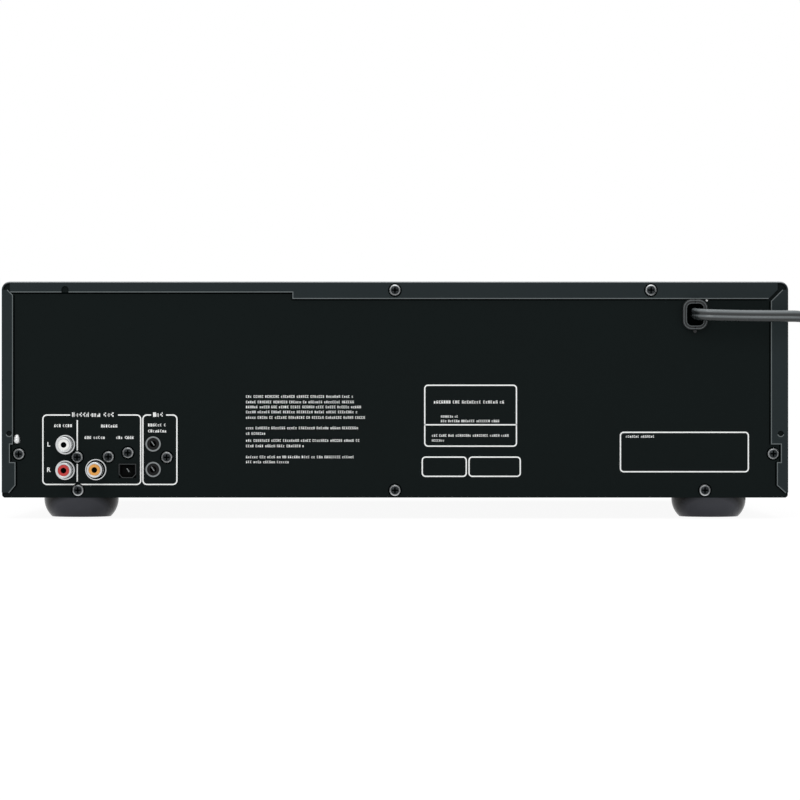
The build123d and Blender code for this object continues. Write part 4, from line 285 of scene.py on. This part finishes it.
surface("panel_paint", linear(13, 20, 20), 0.55, specular=0.06, mottle=0.1)
surface("cover_paint", linear(30, 38, 40), 0.45, specular=0.12, edge=0.0005, mottle=0.04, gloss=0.02,
        grain=0.35, grain_scale=1800.0)
# Painted highlight: the rounded fold between the top and the rear is lighter where it faces up and back
paint_light_by_facing("cover_paint", linear(160, 164, 166), (0, 1, 1), [(0.86, 0), (0.97, 1)])
surface("front_plastic", linear(28, 29, 31), 0.4, specular=0.35, edge=0.0004)
surface("foot_plastic", linear(14, 15, 17), 0.25, specular=0.15, grain=0.05)
# Painted reflection: the feet's faces to the rear are lighter, more so towards the bottom
paint_light_by_facing("foot_plastic", linear(104, 106, 114), (0, 1, 0), [(0.08, 0), (0.36, 1)], fall=62.0)
surface("screw_steel", linear(46, 49, 51), 0.3, metallic=1.0, edge=0.0001)
# Painted highlight: a lighter ring on the sloped part of each screw head that faces the rear
paint_light_by_facing("screw_steel", linear(196, 199, 200), (0, 1, 0), [(0.1, 0), (0.3, 1), (0.66, 1), (0.84, 0)])
surface("socket_plastic", linear(12, 13, 14), 0.4, specular=0.15, edge=0.0003)
surface("socket_dark", linear(6, 7, 7), 0.6, specular=0.03)
# Plated metal's own grey; the same finish also paints highlights on the optical door and the socket
# springs
surface("plated_metal_and_highlight", linear(128, 133, 134), 0.35, metallic=0.7, mottle=0.25)
surface("socket_metal", linear(205, 207, 208), 0.2, metallic=1.0, grain=0.05)
surface("lug_metal", linear(216, 218, 218), 0.3, metallic=0.8)
surface("insulator_white", linear(238, 239, 236), 0.35, mottle=0.03)
surface("insulator_red", linear(190, 44, 40), 0.35, mottle=0.05)
surface("insulator_orange", linear(226, 158, 70), 0.35, mottle=0.05)
surface("bushing_plastic", linear(20, 22, 24), 0.4, specular=0.4, edge=0.0004)
surface("cord_sheath", linear(32, 36, 37), 0.3, specular=0.5, grain=0.1, mottle=0.25, mottle_scale=260.0,
        gloss=0.12)
# Painted light from above: the lead is lighter where it faces up and darker where it faces down
paint_light_by_facing("cord_sheath", linear(108, 114, 116), (0, 0.45, 1), [(0.25, 0), (0.8, 1)])
surface("plug_plastic", linear(34, 37, 38), 0.42, edge=0.0005)
surface("blade_metal", linear(206, 184, 130), 0.25, metallic=1.0)
surface("core_steel", linear(120, 118, 114), 0.45, metallic=0.8, grain_scale=1200)
surface("winding_tape", linear(206, 176, 84), 0.35, grain=0.1)
surface("board_laminate", linear(150, 118, 66), 0.5, mottle_scale=90)
surface("component_black", linear(38, 38, 42), 0.3, edge=0.0003)
surface("frame_plastic", linear(62, 64, 68), 0.5, edge=0.0004)
surface("bridge_steel", linear(180, 182, 186), 0.35, metallic=1.0, mottle=0.2)
surface("tray_plastic", linear(38, 39, 42), 0.45, specular=0.4, edge=0.0004)
surface("gear_plastic", linear(218, 216, 204), 0.45, mottle=0.04)
surface("motor_metal", linear(186, 188, 190), 0.25, metallic=1.0)
surface("belt_rubber", linear(24, 24, 24), 0.8)
surface("turntable_plastic", linear(36, 36, 38), 0.5, edge=0.0003)
surface("button_plastic", linear(34, 35, 38), 0.25, grain=0.05, coat=0.3, edge=0.0003)
surface("dial_plastic", linear(40, 41, 45), 0.3, coat=0.2, edge=0.0004)
surface("ink", linear(246, 248, 247), 0.6, specular=0.2, mottle=0.03, grain=0.05)
# Painted highlight: lighter lines laid along edges that catch the light
surface("edge_highlight", linear(92, 99, 100), 0.4, metallic=0.4, mottle=0.2)
# Painted highlight: a dimmer line along the optical socket's edge
surface("socket_edge_highlight", linear(58, 62, 63), 0.4, metallic=0.3, mottle=0.3)
# Painted shade: near-black, for flat marks where gaps, grooves, recesses and bores lie in shadow
surface("painted_shade", linear(2, 5, 5), 0.9, specular=0.0, grain=0.0)
surface("smoked_window", linear(16, 17, 19), 0.06, specular=0.5, coat=0.6, grain=0.01, gloss=0.02)

special = {
    "top_cover": "cover_paint",
    "rear_panel": "panel_paint",
    "bottom_chassis": "panel_paint",
    "headphone_jack": "socket_plastic",
    "optical_jack": "socket_dark",
    "optical_shutter": "socket_dark",
}
slot_of = {entry["node"]: entry["material_slot"] for entry in frame["record"]["subparts"]}
for name, node in nodes.items():
    finish = finishes[special.get(name, slot_of[name])]
    if not node.material_slots:
        node.data.materials.append(finish)
    for node_slot in node.material_slots:
        node_slot.material = finish
lead_data.materials.append(finishes["cord_sheath"])


def mesh_data(name, shape):
    """The finished mesh of a shape, which is then freed."""
    data = bpy.data.meshes.new(name)
    shape.to_mesh(data)
    shape.free()
    return data


def keep(name, shape, finish, body="case"):
    """Turns a shape into a piece with a finish that rides on a body."""
    piece = bpy.data.objects.new(name, mesh_data(name, shape))
    piece.data.materials.append(finishes[finish])
    bpy.context.collection.objects.link(piece)
    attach(piece, body)


CORNER_STEPS = 5
CIRCLE_STEPS = 48
MARK_STEP = 0.82
WORD_GAP = 0.7


class Print:
    """Flat marks on a face at one y: rectangles, outlines, lines, rings and rows that stand for words."""

    def __init__(self, y, outward):
        self.y = y
        self.outward = outward
        self.mesh = bmesh.new()

    def face(self, corners):
        made = self.mesh.faces.new([self.mesh.verts.new((x, self.y, z)) for x, z in corners])
        made.normal_update()
        if made.normal.y * self.outward < 0:
            made.normal_flip()

    def block(self, x0, x1, z0, z1):
        self.face([(x0, z0), (x1, z0), (x1, z1), (x0, z1)])

    def line(self, points, width):
        """A line of this width through the points, with its corners mitred."""
        left, right = [], []
        for number, at in enumerate(points):
            before = Vector(points[max(number - 1, 0)])
            after = Vector(points[min(number + 1, len(points) - 1)])
            here = Vector(at)
            into = (here - before).normalized() if number else (after - here).normalized()
            out = (after - here).normalized() if number < len(points) - 1 else into
            across = Vector((-(into + out).y, (into + out).x)).normalized()
            stretch = width / 2 / max(0.3, across.dot(Vector((-into.y, into.x))))
            left.append(here + across * stretch)
            right.append(here - across * stretch)
        for k in range(len(points) - 1):
            self.face([left[k], left[k + 1], right[k + 1], right[k]])

    def rounded(self, x0, x1, z0, z1, radius):
        """Points round a rounded rectangle, clockwise from the high end of its x1 corner."""
        points = []
        for cx, cz, start in ((x1 - radius, z1 - radius, 90), (x1 - radius, z0 + radius, 0),
                              (x0 + radius, z0 + radius, -90), (x0 + radius, z1 - radius, -180)):
            for k in range(CORNER_STEPS + 1):
                angle = math.radians(start - 90 * k / CORNER_STEPS)
                points.append((cx + radius * math.cos(angle), cz + radius * math.sin(angle)))
        return points

    def outline(self, x0, x1, z0, z1, radius, width, gap=None):
        """A rounded rectangle's outline. gap is the stretch (x, x) left out of its top line."""
        middle = (x0 + x1) / 2
        begin, end = gap[::-1] if gap else (middle, middle)
        self.line([(begin, z1)] + self.rounded(x0, x1, z0, z1, radius) + [(end, z1)], width)

    def ring(self, x, z, inner, outer, start=0, end=360):
        """A flat ring, or the stretch of one between two angles. An inner radius of 0 makes a disc."""
        count = max(6, round(CIRCLE_STEPS * (end - start) / 360))
        spokes = []
        for k in range(count + 1):
            angle = math.radians(start + (end - start) * k / count)
            spokes.append((math.cos(angle), math.sin(angle)))
        for (ax, az), (bx, bz) in zip(spokes, spokes[1:]):
            outside = [(x + outer * bx, z + outer * bz), (x + outer * ax, z + outer * az)]
            inside = [(x + inner * ax, z + inner * az), (x + inner * bx, z + inner * bz)]
            self.face(outside + (inside if inner else [(x, z)]))

    def words(self, x0, x1, z, height, seed, bold=0.5):
        """A row of small marks from x0 to x1, in groups like words. They spell nothing."""
        pick = random.Random(seed)
        at = x0
        sign = 1 if x1 > x0 else -1
        step = height * MARK_STEP
        while (x1 - at) * sign > step:
            for _ in range(pick.randint(2, 8)):
                if (x1 - at) * sign <= step:
                    break
                wide = step * pick.uniform(0.55, 0.8)
                tall = height * pick.choice((1.0, 1.0, 0.78))
                low = z - height / 2
                form = pick.randint(0, 3)
                stem = height * 0.2 * (0.7 + bold)
                edge = at + sign * wide
                self.block(at, at + sign * stem, low, low + tall)
                if form in (0, 2):
                    self.block(edge - sign * stem, edge, low, low + tall * (1 if form == 0 else 0.55))
                if form in (1, 2, 3):
                    self.block(at, edge, low + tall - stem, low + tall)
                if form in (1, 3):
                    self.block(at, edge, low, low + stem)
                at += sign * step
            at += sign * step * WORD_GAP

    def done(self, name, finish="ink", body="case"):
        keep(name, self.mesh, finish, body)


LETTER_SWELL = 0.025


def label(name, text, x, z, size, y=PANEL_Y + PRINT_LIFT, rear=True, body="case"):
    """A plain letter or number printed on a face that looks to the rear or the front."""
    data = bpy.data.curves.new(name, "FONT")
    data.body = text
    data.size = size
    data.align_x = "CENTER"
    data.align_y = "CENTER"
    data.offset = size * LETTER_SWELL
    piece = bpy.data.objects.new(name, data)
    piece.location = (x, y, z)
    piece.rotation_euler = (math.pi / 2, 0, math.pi if rear else 0)
    data.materials.append(finishes["ink"])
    bpy.context.collection.objects.link(piece)
    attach(piece, body)
    return piece


# Rear legends: outlines and rows of marks where the photograph has words, and the letters L and R
LINE = 0.0007
BOX_RADIUS = 0.0018
SOCKET_BOX_RADIUS = 0.0022
SOCKET_BOX_LOW = 0.0188
SOCKET_BOX_HIGH = 0.0572
DIVIDER_X = 0.1757
LETTER_HEIGHT = 0.0034
rear = Print(PANEL_Y + PRINT_LIFT, 1)
for x_low, x_high, gap_start, gap_end in ((0.1406, 0.1947, 70, 118), (0.1206, 0.1394, 151, 166)):
    gap_left, _ = photo(gap_start, 0)
    gap_right, _ = photo(gap_end, 0)
    rear.outline(x_low, x_high, SOCKET_BOX_LOW, SOCKET_BOX_HIGH, SOCKET_BOX_RADIUS, LINE,
                 gap=(gap_right, gap_left))
rear.line([(DIVIDER_X, 0.0544), (DIVIDER_X, 0.0204)], LINE)

# The rows' start, end, row and height in the photograph's pixels, and how bold they are
small_rows = [
    (72, 116, 414.6, 4.4, 1.0),
    (54, 74.5, 425.7, 2.9, 0.6),
    (101, 119.5, 426.0, 2.9, 0.6),
    (84.5, 106, 437.5, 2.9, 0.6),
    (116, 136.5, 437.5, 2.9, 0.6),
    (148, 168, 425.0, 2.9, 0.6),
    (148, 171, 431.0, 2.9, 0.6),
    (153, 164, 414.6, 4.4, 1.0),
]
block_ends = [(396.5, 354), (402, 354.5), (407, 362.5), (412, 358), (417.5, 369), (428, 360),
              (433.5, 267), (440.5, 363), (446, 305), (457, 356.5), (462, 291)]
small_rows += [(246, end, row, 2.5, 0.4) for row, end in block_ends]
rating_rows = [(402, 434, 505, 3.0), (416.5, 441, 460, 2.2), (421, 441, 501, 2.4),
               (435.5, 432, 511, 2.4), (440.5, 432, 445, 2.2)]
small_rows += [(start, end, row, tall, 0.5) for row, start, end, tall in rating_rows]
small_rows.append((626, 656, 436.5, 2.4, 0.4))
for number, (start, end, row, tall, bold) in enumerate(small_rows):
    x_start, z_row = photo(start, row)
    x_end, _ = photo(end, row)
    rear.words(x_start, x_end, z_row, tall / PHOTO_SCALE, number, bold)

# The label boxes' left, right, top and low sides in the photograph's pixels
boxes = [(424.2, 517.2, 384.6, 446.8), (421.7, 467, 456.5, 477), (468.5, 521, 456.5, 477),
         (620, 749.2, 431.7, 472.4)]
half = LINE / 2
for left, right, top, low in boxes:
    x_left, z_top = photo(left, top)
    x_right, z_low = photo(right, low)
    rear.outline(x_right + half, x_left - half, z_low + half, z_top - half, BOX_RADIUS, LINE)
x_left, z_row = photo(424.2, 424.8)
x_right, _ = photo(517.2, 424.8)
rear.line([(x_left, z_row), (x_right, z_row)], LINE)
rear.done("rear_print")
for text, row in (("L", 444.5), ("R", 470.0)):
    x_letter, z_letter = photo(48.5, row)
    label(f"print_{text}", text, x_letter, z_letter, LETTER_HEIGHT)

# Front legends: a number over each disc key, the usual signs and a bare outline over the other keys
KEY_X = 0.084
KEY_PITCH = 0.0216
KEY_NUMBER_Z = 0.0768
KEY_NUMBER_HEIGHT = 0.0036
for number in range(DISCS):
    label(f"key_number_{number + 1}", str(number + 1), KEY_X + KEY_PITCH * number, KEY_NUMBER_Z,
          KEY_NUMBER_HEIGHT, y=FRONT_Y - PRINT_LIFT, rear=False)
front = Print(FRONT_Y - PRINT_LIFT, -1)
# Play
front.face([(0.0885, 0.0572), (0.0885, 0.0600), (0.0912, 0.0586)])
# Stop
front.block(0.1105, 0.1129, 0.0574, 0.0598)
# Open: a triangle over a bar
front.face([(0.0885, 0.0345), (0.0915, 0.0345), (0.0900, 0.0363)])
front.block(0.0885, 0.0915, 0.0335, 0.0340)
# Forward: two triangles
front.face([(0.1096, 0.0336), (0.1096, 0.0362), (0.1116, 0.0349)])
front.face([(0.1116, 0.0336), (0.1116, 0.0362), (0.1136, 0.0349)])
front.outline(-0.1975, -0.1825, 0.0695, 0.0735, 0.001, 0.0003)
front.done("front_print")

# Painted highlights along the edges of the cover's flaps, and painted shadow in the gaps below them
EDGE = 0.0005
GAP_LIFT = 0.00002
GAP_INSET = 0.0004
GAP_WIDTH = 0.0008
SIDE_GAP_WIDTH = 0.0009
NOTCH_X = 0.1824
NOTCH_HALF = 0.00195
FLAP_STEP_X = 0.0564
FLAP_DROP = 0.0096
SHORT_FLAP_DROP = 0.006
FLAP_TOP = 0.1264
FLAP_CORNER = 0.0033
SIDE_NOTCH_HIGH = 0.0412
SIDE_NOTCH_LOW = 0.0309
SIDE_TAB_LOW = 0.0184
FLAP_END = 0.0142
DIMPLE = (0.2133, 0.0469)
DIMPLE_RADII = (0.0014, 0.0019)
flap_low = CASE_TOP - FLAP_DROP
flap_high = CASE_TOP - SHORT_FLAP_DROP
edge_low = flap_low + EDGE / 2
edge_high = flap_high + EDGE / 2
gap_low = flap_low - GAP_INSET
gap_high = flap_high - GAP_INSET
edges = Print(FLAP_Y + PRINT_LIFT, 1)
gaps = Print(PANEL_Y + GAP_LIFT, 1)
edges.line([(HALF_WIDTH - 0.0048, edge_high), (NOTCH_X + NOTCH_HALF, edge_high)], EDGE)
edges.line([(NOTCH_X - NOTCH_HALF, edge_high), (FLAP_STEP_X, edge_high), (FLAP_STEP_X, edge_low),
            (-0.2066, edge_low)], EDGE)

# How far each side's flap reaches inward: at its full width, its notch, its tab and its end
side_flaps = [(1, 0.0063, 0.0046, 0.0077, 0.0042), (-1, 0.0096, 0.0041, 0.0063, 0.0016)]
for side, wide, notch, tab, end in side_flaps:
    inner = [(FLAP_CORNER, FLAP_TOP), (wide, FLAP_TOP - wide + FLAP_CORNER), (wide, SIDE_NOTCH_HIGH),
             (notch, SIDE_NOTCH_HIGH), (notch, SIDE_NOTCH_LOW), (tab, SIDE_NOTCH_LOW),
             (tab, SIDE_TAB_LOW), (end, FLAP_END)]
    edges.line([(side * (HALF_WIDTH - inset + EDGE / 2), z) for inset, z in inner], EDGE)
    # A painted highlight on the lower rim of each dimple
    edges.ring(side * DIMPLE[0], DIMPLE[1], *DIMPLE_RADII, 195, 345)
    gaps.line([(side * (HALF_WIDTH - inset - GAP_INSET), z) for inset, z in inner[1:]], SIDE_GAP_WIDTH)
edges.done("flap_edge_highlights", "edge_highlight")
gaps.line([(HALF_WIDTH - 0.0055, gap_high), (0.0567, gap_high), (0.0567, gap_low), (-0.2056, gap_low)],
          GAP_WIDTH)
gaps.done("flap_gap_shade", "painted_shade")

# Phono and remote sockets: plated rings, painted shade in the grooves, and discs of painted shade that
# close the phono bores. The faces are measured outward from the panel
PHONO = [(0.1823, 0.0408), (0.1824, 0.0267), (0.1654, 0.0270)]
PHONO_FACE = 0.0008
PHONO_TIP = 0.0111
GROOVE = (0.0043, 0.0047)
WIDE_GROOVE = (0.0043, 0.0053)
BORE_SHADE_RADIUS = 0.00158
REMOTE = [(0.1337, 0.0412), (0.1337, 0.0271)]
REMOTE_FACE = 0.0007
REMOTE_RING = (0.0034, 0.0042)
plated = Print(PANEL_Y + REMOTE_FACE + PRINT_LIFT, 1)
for x, z in REMOTE:
    plated.ring(x, z, *REMOTE_RING)
plated.done("remote_rings", "plated_metal_and_highlight")
groove_shade = Print(PANEL_Y + PHONO_FACE + PRINT_LIFT, 1)
for place, radii in zip(PHONO, (GROOVE, GROOVE, WIDE_GROOVE)):
    groove_shade.ring(*place, *radii)
groove_shade.done("phono_groove_shade", "painted_shade")
bore_shade = Print(PANEL_Y + PHONO_TIP, 1)
for place in PHONO:
    bore_shade.ring(*place, 0.0, BORE_SHADE_RADIUS)
bore_shade.done("phono_bore_shade", "painted_shade")

# The optical socket: a painted highlight along its outline, a box with both lower corners cut off, and a
# painted highlight on its door. Then painted highlights on the springs in the remote sockets
HIGHLIGHT_WIDTH = 0.0005
SPRING_FACE = 0.0003
NOSE_X = 0.1479
NOSE_Z = 0.0263
NOSE_FACE = 0.0008
NOSE_HALF = 0.0046
NOSE_RISE = 0.00375
NOSE_CUT = 0.0019
NOSE_LINE = 0.0003
nose = Print(PANEL_Y + NOSE_FACE + PRINT_LIFT, 1)
nose_shape = [(0, NOSE_RISE), (NOSE_HALF, NOSE_RISE), (NOSE_HALF, NOSE_CUT - NOSE_RISE),
              (NOSE_HALF - NOSE_CUT, -NOSE_RISE), (NOSE_CUT - NOSE_HALF, -NOSE_RISE),
              (-NOSE_HALF, NOSE_CUT - NOSE_RISE), (-NOSE_HALF, NOSE_RISE), (0, NOSE_RISE)]
nose.line([(NOSE_X + x, NOSE_Z + z) for x, z in nose_shape], NOSE_LINE)
nose.done("optical_outline_highlight", "socket_edge_highlight")
door_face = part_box("optical_shutter")[1][1]
glint = Print(door_face + PRINT_LIFT, 1)
glint.line([(NOSE_X + 0.0004, NOSE_Z + 0.0014), (NOSE_X - 0.0009, NOSE_Z - 0.0006)], HIGHLIGHT_WIDTH)
glint.done("door_highlight", "plated_metal_and_highlight", "optical_shutter")
spring_highlights = Print(PANEL_Y + SPRING_FACE, 1)
for x, z in REMOTE:
    spring_highlights.line([(x + 0.001, z + 0.0015), (x - 0.0006, z - 0.0008)], HIGHLIGHT_WIDTH)
spring_highlights.done("socket_spring_highlights", "plated_metal_and_highlight")

# The bushing: painted highlights on its moulded contours, painted shade in its mouth, a white dot beside
# it
BUSH_X = -0.1659
BUSH_Z = 0.1127
BUSH_FACE = 0.0036
BUSH_HALF_WIDTH = 0.007
BUSH_HALF_HEIGHT = 0.0085
BUSH_RADIUS = 0.005
MOUTH_FACE = 0.00105
MOUTH_HALF_WIDTH = 0.0045
MOUTH_HALF_HEIGHT = 0.006
MOUTH_RADIUS = 0.0025
WHITE_DOT = (-0.1725, 0.1206)
WHITE_DOT_RADIUS = 0.0006
contour_highlights = Print(PANEL_Y + BUSH_FACE + PRINT_LIFT, 1)
for inset, width in ((0.00075, 0.0003), (0.00215, 0.00025)):
    reach = BUSH_HALF_WIDTH - inset
    rise = BUSH_HALF_HEIGHT - inset
    contour_highlights.outline(BUSH_X - reach, BUSH_X + reach, BUSH_Z - rise, BUSH_Z + rise,
                     BUSH_RADIUS - inset, width)
contour_highlights.done("bushing_contour_highlights", "edge_highlight")
mouth_shade = Print(PANEL_Y + MOUTH_FACE, 1)
mouth_shade.face(mouth_shade.rounded(BUSH_X - MOUTH_HALF_WIDTH, BUSH_X + MOUTH_HALF_WIDTH,
                         BUSH_Z - MOUTH_HALF_HEIGHT, BUSH_Z + MOUTH_HALF_HEIGHT, MOUTH_RADIUS))
mouth_shade.done("bushing_mouth_shade", "painted_shade")
white_dot = Print(PANEL_Y + 2 * PRINT_LIFT, 1)
white_dot.ring(*WHITE_DOT, 0.0, WHITE_DOT_RADIUS)
white_dot.done("bushing_white_dot", "ink")

# Screws: painted shade round each head and a cross of painted shade at the bottom of its recess
CROSS_FACE = 0.00085
CROSS_LONG = 0.0016
CROSS_WIDE = 0.0004
SHADE_RADII = (0.0031, 0.00375)
COVER_SCREWS = [(0.0, 0.1262), (-0.1415, 0.1262)]
PANEL_SCREWS = [(0.2080, 0.0356), (-0.2092, 0.0358), (0.1753, 0.0156), (0.0, 0.0156), (-0.1714, 0.0156),
                (0.1757, 0.0339), (0.1585, 0.0341), (0.1477, 0.0363), (0.1262, 0.0338)]
for part, face_y, places in (("cover", FLAP_Y, COVER_SCREWS), ("panel", PANEL_Y, PANEL_SCREWS)):
    shade = Print(face_y + 2 * PRINT_LIFT, 1)
    cross = Print(face_y + CROSS_FACE, 1)
    for x, z in places:
        shade.ring(x, z, *SHADE_RADII)
        cross.block(x - CROSS_LONG, x + CROSS_LONG, z - CROSS_WIDE, z + CROSS_WIDE)
        cross.block(x - CROSS_WIDE, x + CROSS_WIDE, z + CROSS_WIDE, z + CROSS_LONG)
        cross.block(x - CROSS_WIDE, x + CROSS_WIDE, z - CROSS_LONG, z - CROSS_WIDE)
    shade.done(f"{part}_screw_shade", "painted_shade")
    cross.done(f"{part}_screw_cross_shade", "painted_shade")

# The spring lug beside the left notch
LUG_X = 0.2090
LUG_FACE = 0.0006
lug_mesh = bmesh.new()
for z, radius in ((0.0430, 0.0018), (0.0443, 0.0017), (0.0453, 0.0013)):
    bmesh.ops.create_uvsphere(lug_mesh, u_segments=20, v_segments=12, radius=radius,
                              matrix=Matrix.Translation((LUG_X, PANEL_Y + LUG_FACE, z)))
for face in lug_mesh.faces:
    face.smooth = True
keep("spring_lug", lug_mesh, "lug_metal")

# The cover's rolled lower hems, which close the step between its sides and the chassis
HEM_RADIUS = 0.0015
HEM_GAP = 0.0001
HEM_STEPS = 6
hem_mesh = bmesh.new()
cover_low, cover_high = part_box("top_cover")
pan_low, pan_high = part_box("bottom_chassis")
inner = pan_high[0] + HEM_GAP
outer = cover_high[0] - HEM_GAP
top = cover_low[2] - HEM_GAP
bottom = pan_low[2] + HEM_GAP
section = [(inner, bottom), (inner, top), (outer, top)]
for k in range(HEM_STEPS + 1):
    angle = math.radians(90 * k / HEM_STEPS)
    section.append((outer - HEM_RADIUS + HEM_RADIUS * math.cos(angle),
                    bottom + HEM_RADIUS - HEM_RADIUS * math.sin(angle)))
for side in (1, -1):
    rings = [[hem_mesh.verts.new((side * x, y, z)) for x, z in section]
             for y in (pan_low[1] + HEM_RADIUS, pan_high[1] - HEM_GAP)]
    for k in range(len(section)):
        after = (k + 1) % len(section)
        hem_mesh.faces.new([rings[0][k], rings[0][after], rings[1][after], rings[1][k]])
    hem_mesh.faces.new(rings[0])
    hem_mesh.faces.new(rings[1])
bmesh.ops.recalc_face_normals(hem_mesh, faces=hem_mesh.faces)
keep("cover_hems", hem_mesh, "panel_paint")

# The carousel's pocket numbers, printed round its hub
HUB = (0, -0.004, 0.10355)
POCKET_NUMBER_HEIGHT = 0.013
POCKET_NUMBER_REACH = 0.049
for number in range(DISCS):
    mark = label(f"pocket_number_{number + 1}", str(number + 1), 0, 0, POCKET_NUMBER_HEIGHT,
                 body="carousel")
    spin = Matrix.Rotation(2 * math.pi * number / DISCS, 4, "Z")
    mark.matrix_world = Matrix.Translation(HUB) @ spin @ Matrix.Translation((0, POCKET_NUMBER_REACH, 0))

# Grip ribs round the jog dial
RIBS = 90
RIB_SIZE = (0.0006, 0.0088, 0.0007)
RIB_BEVEL = 0.00012
DIAL_CENTRE = (0.178, -0.2096, 0.038)
DIAL_RADIUS = 0.02
dial_mesh = bmesh.new()
for number in range(RIBS):
    spin = Matrix.Translation(DIAL_CENTRE) @ Matrix.Rotation(2 * math.pi * number / RIBS, 4, "Y")
    shape = spin @ Matrix.Translation((DIAL_RADIUS, 0, 0)) @ Matrix.Diagonal((*RIB_SIZE, 1))
    bmesh.ops.create_cube(dial_mesh, size=1.0, matrix=shape)
bmesh.ops.bevel(dial_mesh, geom=dial_mesh.edges[:], offset=RIB_BEVEL, segments=1, affect="EDGES")
keep("jog_dial_ribs", dial_mesh, "dial_plastic", "jog_dial")

# Floor, backdrop colour and light
FLOOR_HALF = 6.0
FLOOR_DROP = 0.0002
FLOOR_GLOW = 1.06
FLOOR_GLOW_SHARE = 0.88
WORLD_LIGHT = 0.75
BACKDROP_WHITE = 1.0
floor_mesh = bmesh.new()
bmesh.ops.create_grid(floor_mesh, x_segments=1, y_segments=1, size=FLOOR_HALF)
floor = bpy.data.objects.new("floor", mesh_data("floor", floor_mesh))
floor.location.z = -FLOOR_DROP
floor_paper = surface("floor", (0.93, 0.93, 0.93), 0.9, specular=0.0, mottle=0.0, grain=0.0)
floor.data.materials.append(floor_paper)
bpy.context.collection.objects.link(floor)


def seen_directly(tree):
    """1 for rays from the camera, off a gloss or through glass, and 0 for the light on the object."""
    paths = tree.nodes.new("ShaderNodeLightPath")
    seen = paths.outputs["Is Camera Ray"]
    for kind in ("Is Glossy Ray", "Is Transmission Ray"):
        either = tree.nodes.new("ShaderNodeMath")
        either.operation = "MAXIMUM"
        tree.links.new(seen, either.inputs[0])
        tree.links.new(paths.outputs[kind], either.inputs[1])
        seen = either.outputs["Value"]
    return seen


# The paper floor glows evenly where it is looked at, so that it is as white as the backdrop, and it
# keeps a faint shadow
paper = floor_paper.node_tree
glow = paper.nodes.new("ShaderNodeEmission")
glow.inputs["Strength"].default_value = FLOOR_GLOW
share = paper.nodes.new("ShaderNodeMath")
share.operation = "MULTIPLY"
share.inputs[1].default_value = FLOOR_GLOW_SHARE
paper.links.new(seen_directly(paper), share.inputs[0])
blend = paper.nodes.new("ShaderNodeMixShader")
paper.links.new(share.outputs["Value"], blend.inputs["Fac"])
paper.links.new(paper.nodes["Principled BSDF"].outputs["BSDF"], blend.inputs[1])
paper.links.new(glow.outputs["Emission"], blend.inputs[2])
paper.links.new(blend.outputs["Shader"], paper.nodes["Material Output"].inputs["Surface"])

world = bpy.data.worlds.new("world")
world.use_nodes = True
bpy.context.scene.world = world
background = world.node_tree.nodes["Background"]
strength = world.node_tree.nodes.new("ShaderNodeMapRange")
strength.inputs["To Min"].default_value = WORLD_LIGHT
strength.inputs["To Max"].default_value = BACKDROP_WHITE
world.node_tree.links.new(seen_directly(world.node_tree), strength.inputs["Value"])
world.node_tree.links.new(strength.outputs["Result"], background.inputs["Strength"])
background.inputs["Color"].default_value = (1, 1, 1, 1)


def lamp(name, place, aim, size, power):
    """A square soft light that looks from place to aim."""
    data = bpy.data.lights.new(name, "AREA")
    data.size = size
    data.energy = power
    made = bpy.data.objects.new(name, data)
    made.location = place
    made.rotation_euler = (Vector(aim) - Vector(place)).to_track_quat("-Z", "Y").to_euler()
    bpy.context.collection.objects.link(made)


lamp("key", (0.6, 1.9, 1.5), (0, 0, 0.06), 1.2, 9.0)
lamp("top", (0, 0.3, 2.0), (0, 0, 0.06), 1.6, 9.0)
lamp("front", (-0.6, -1.9, 1.3), (0, 0, 0.06), 1.2, 7.0)

bpy.context.scene.view_settings.view_transform = "Standard"
bpy.context.view_layer.update()
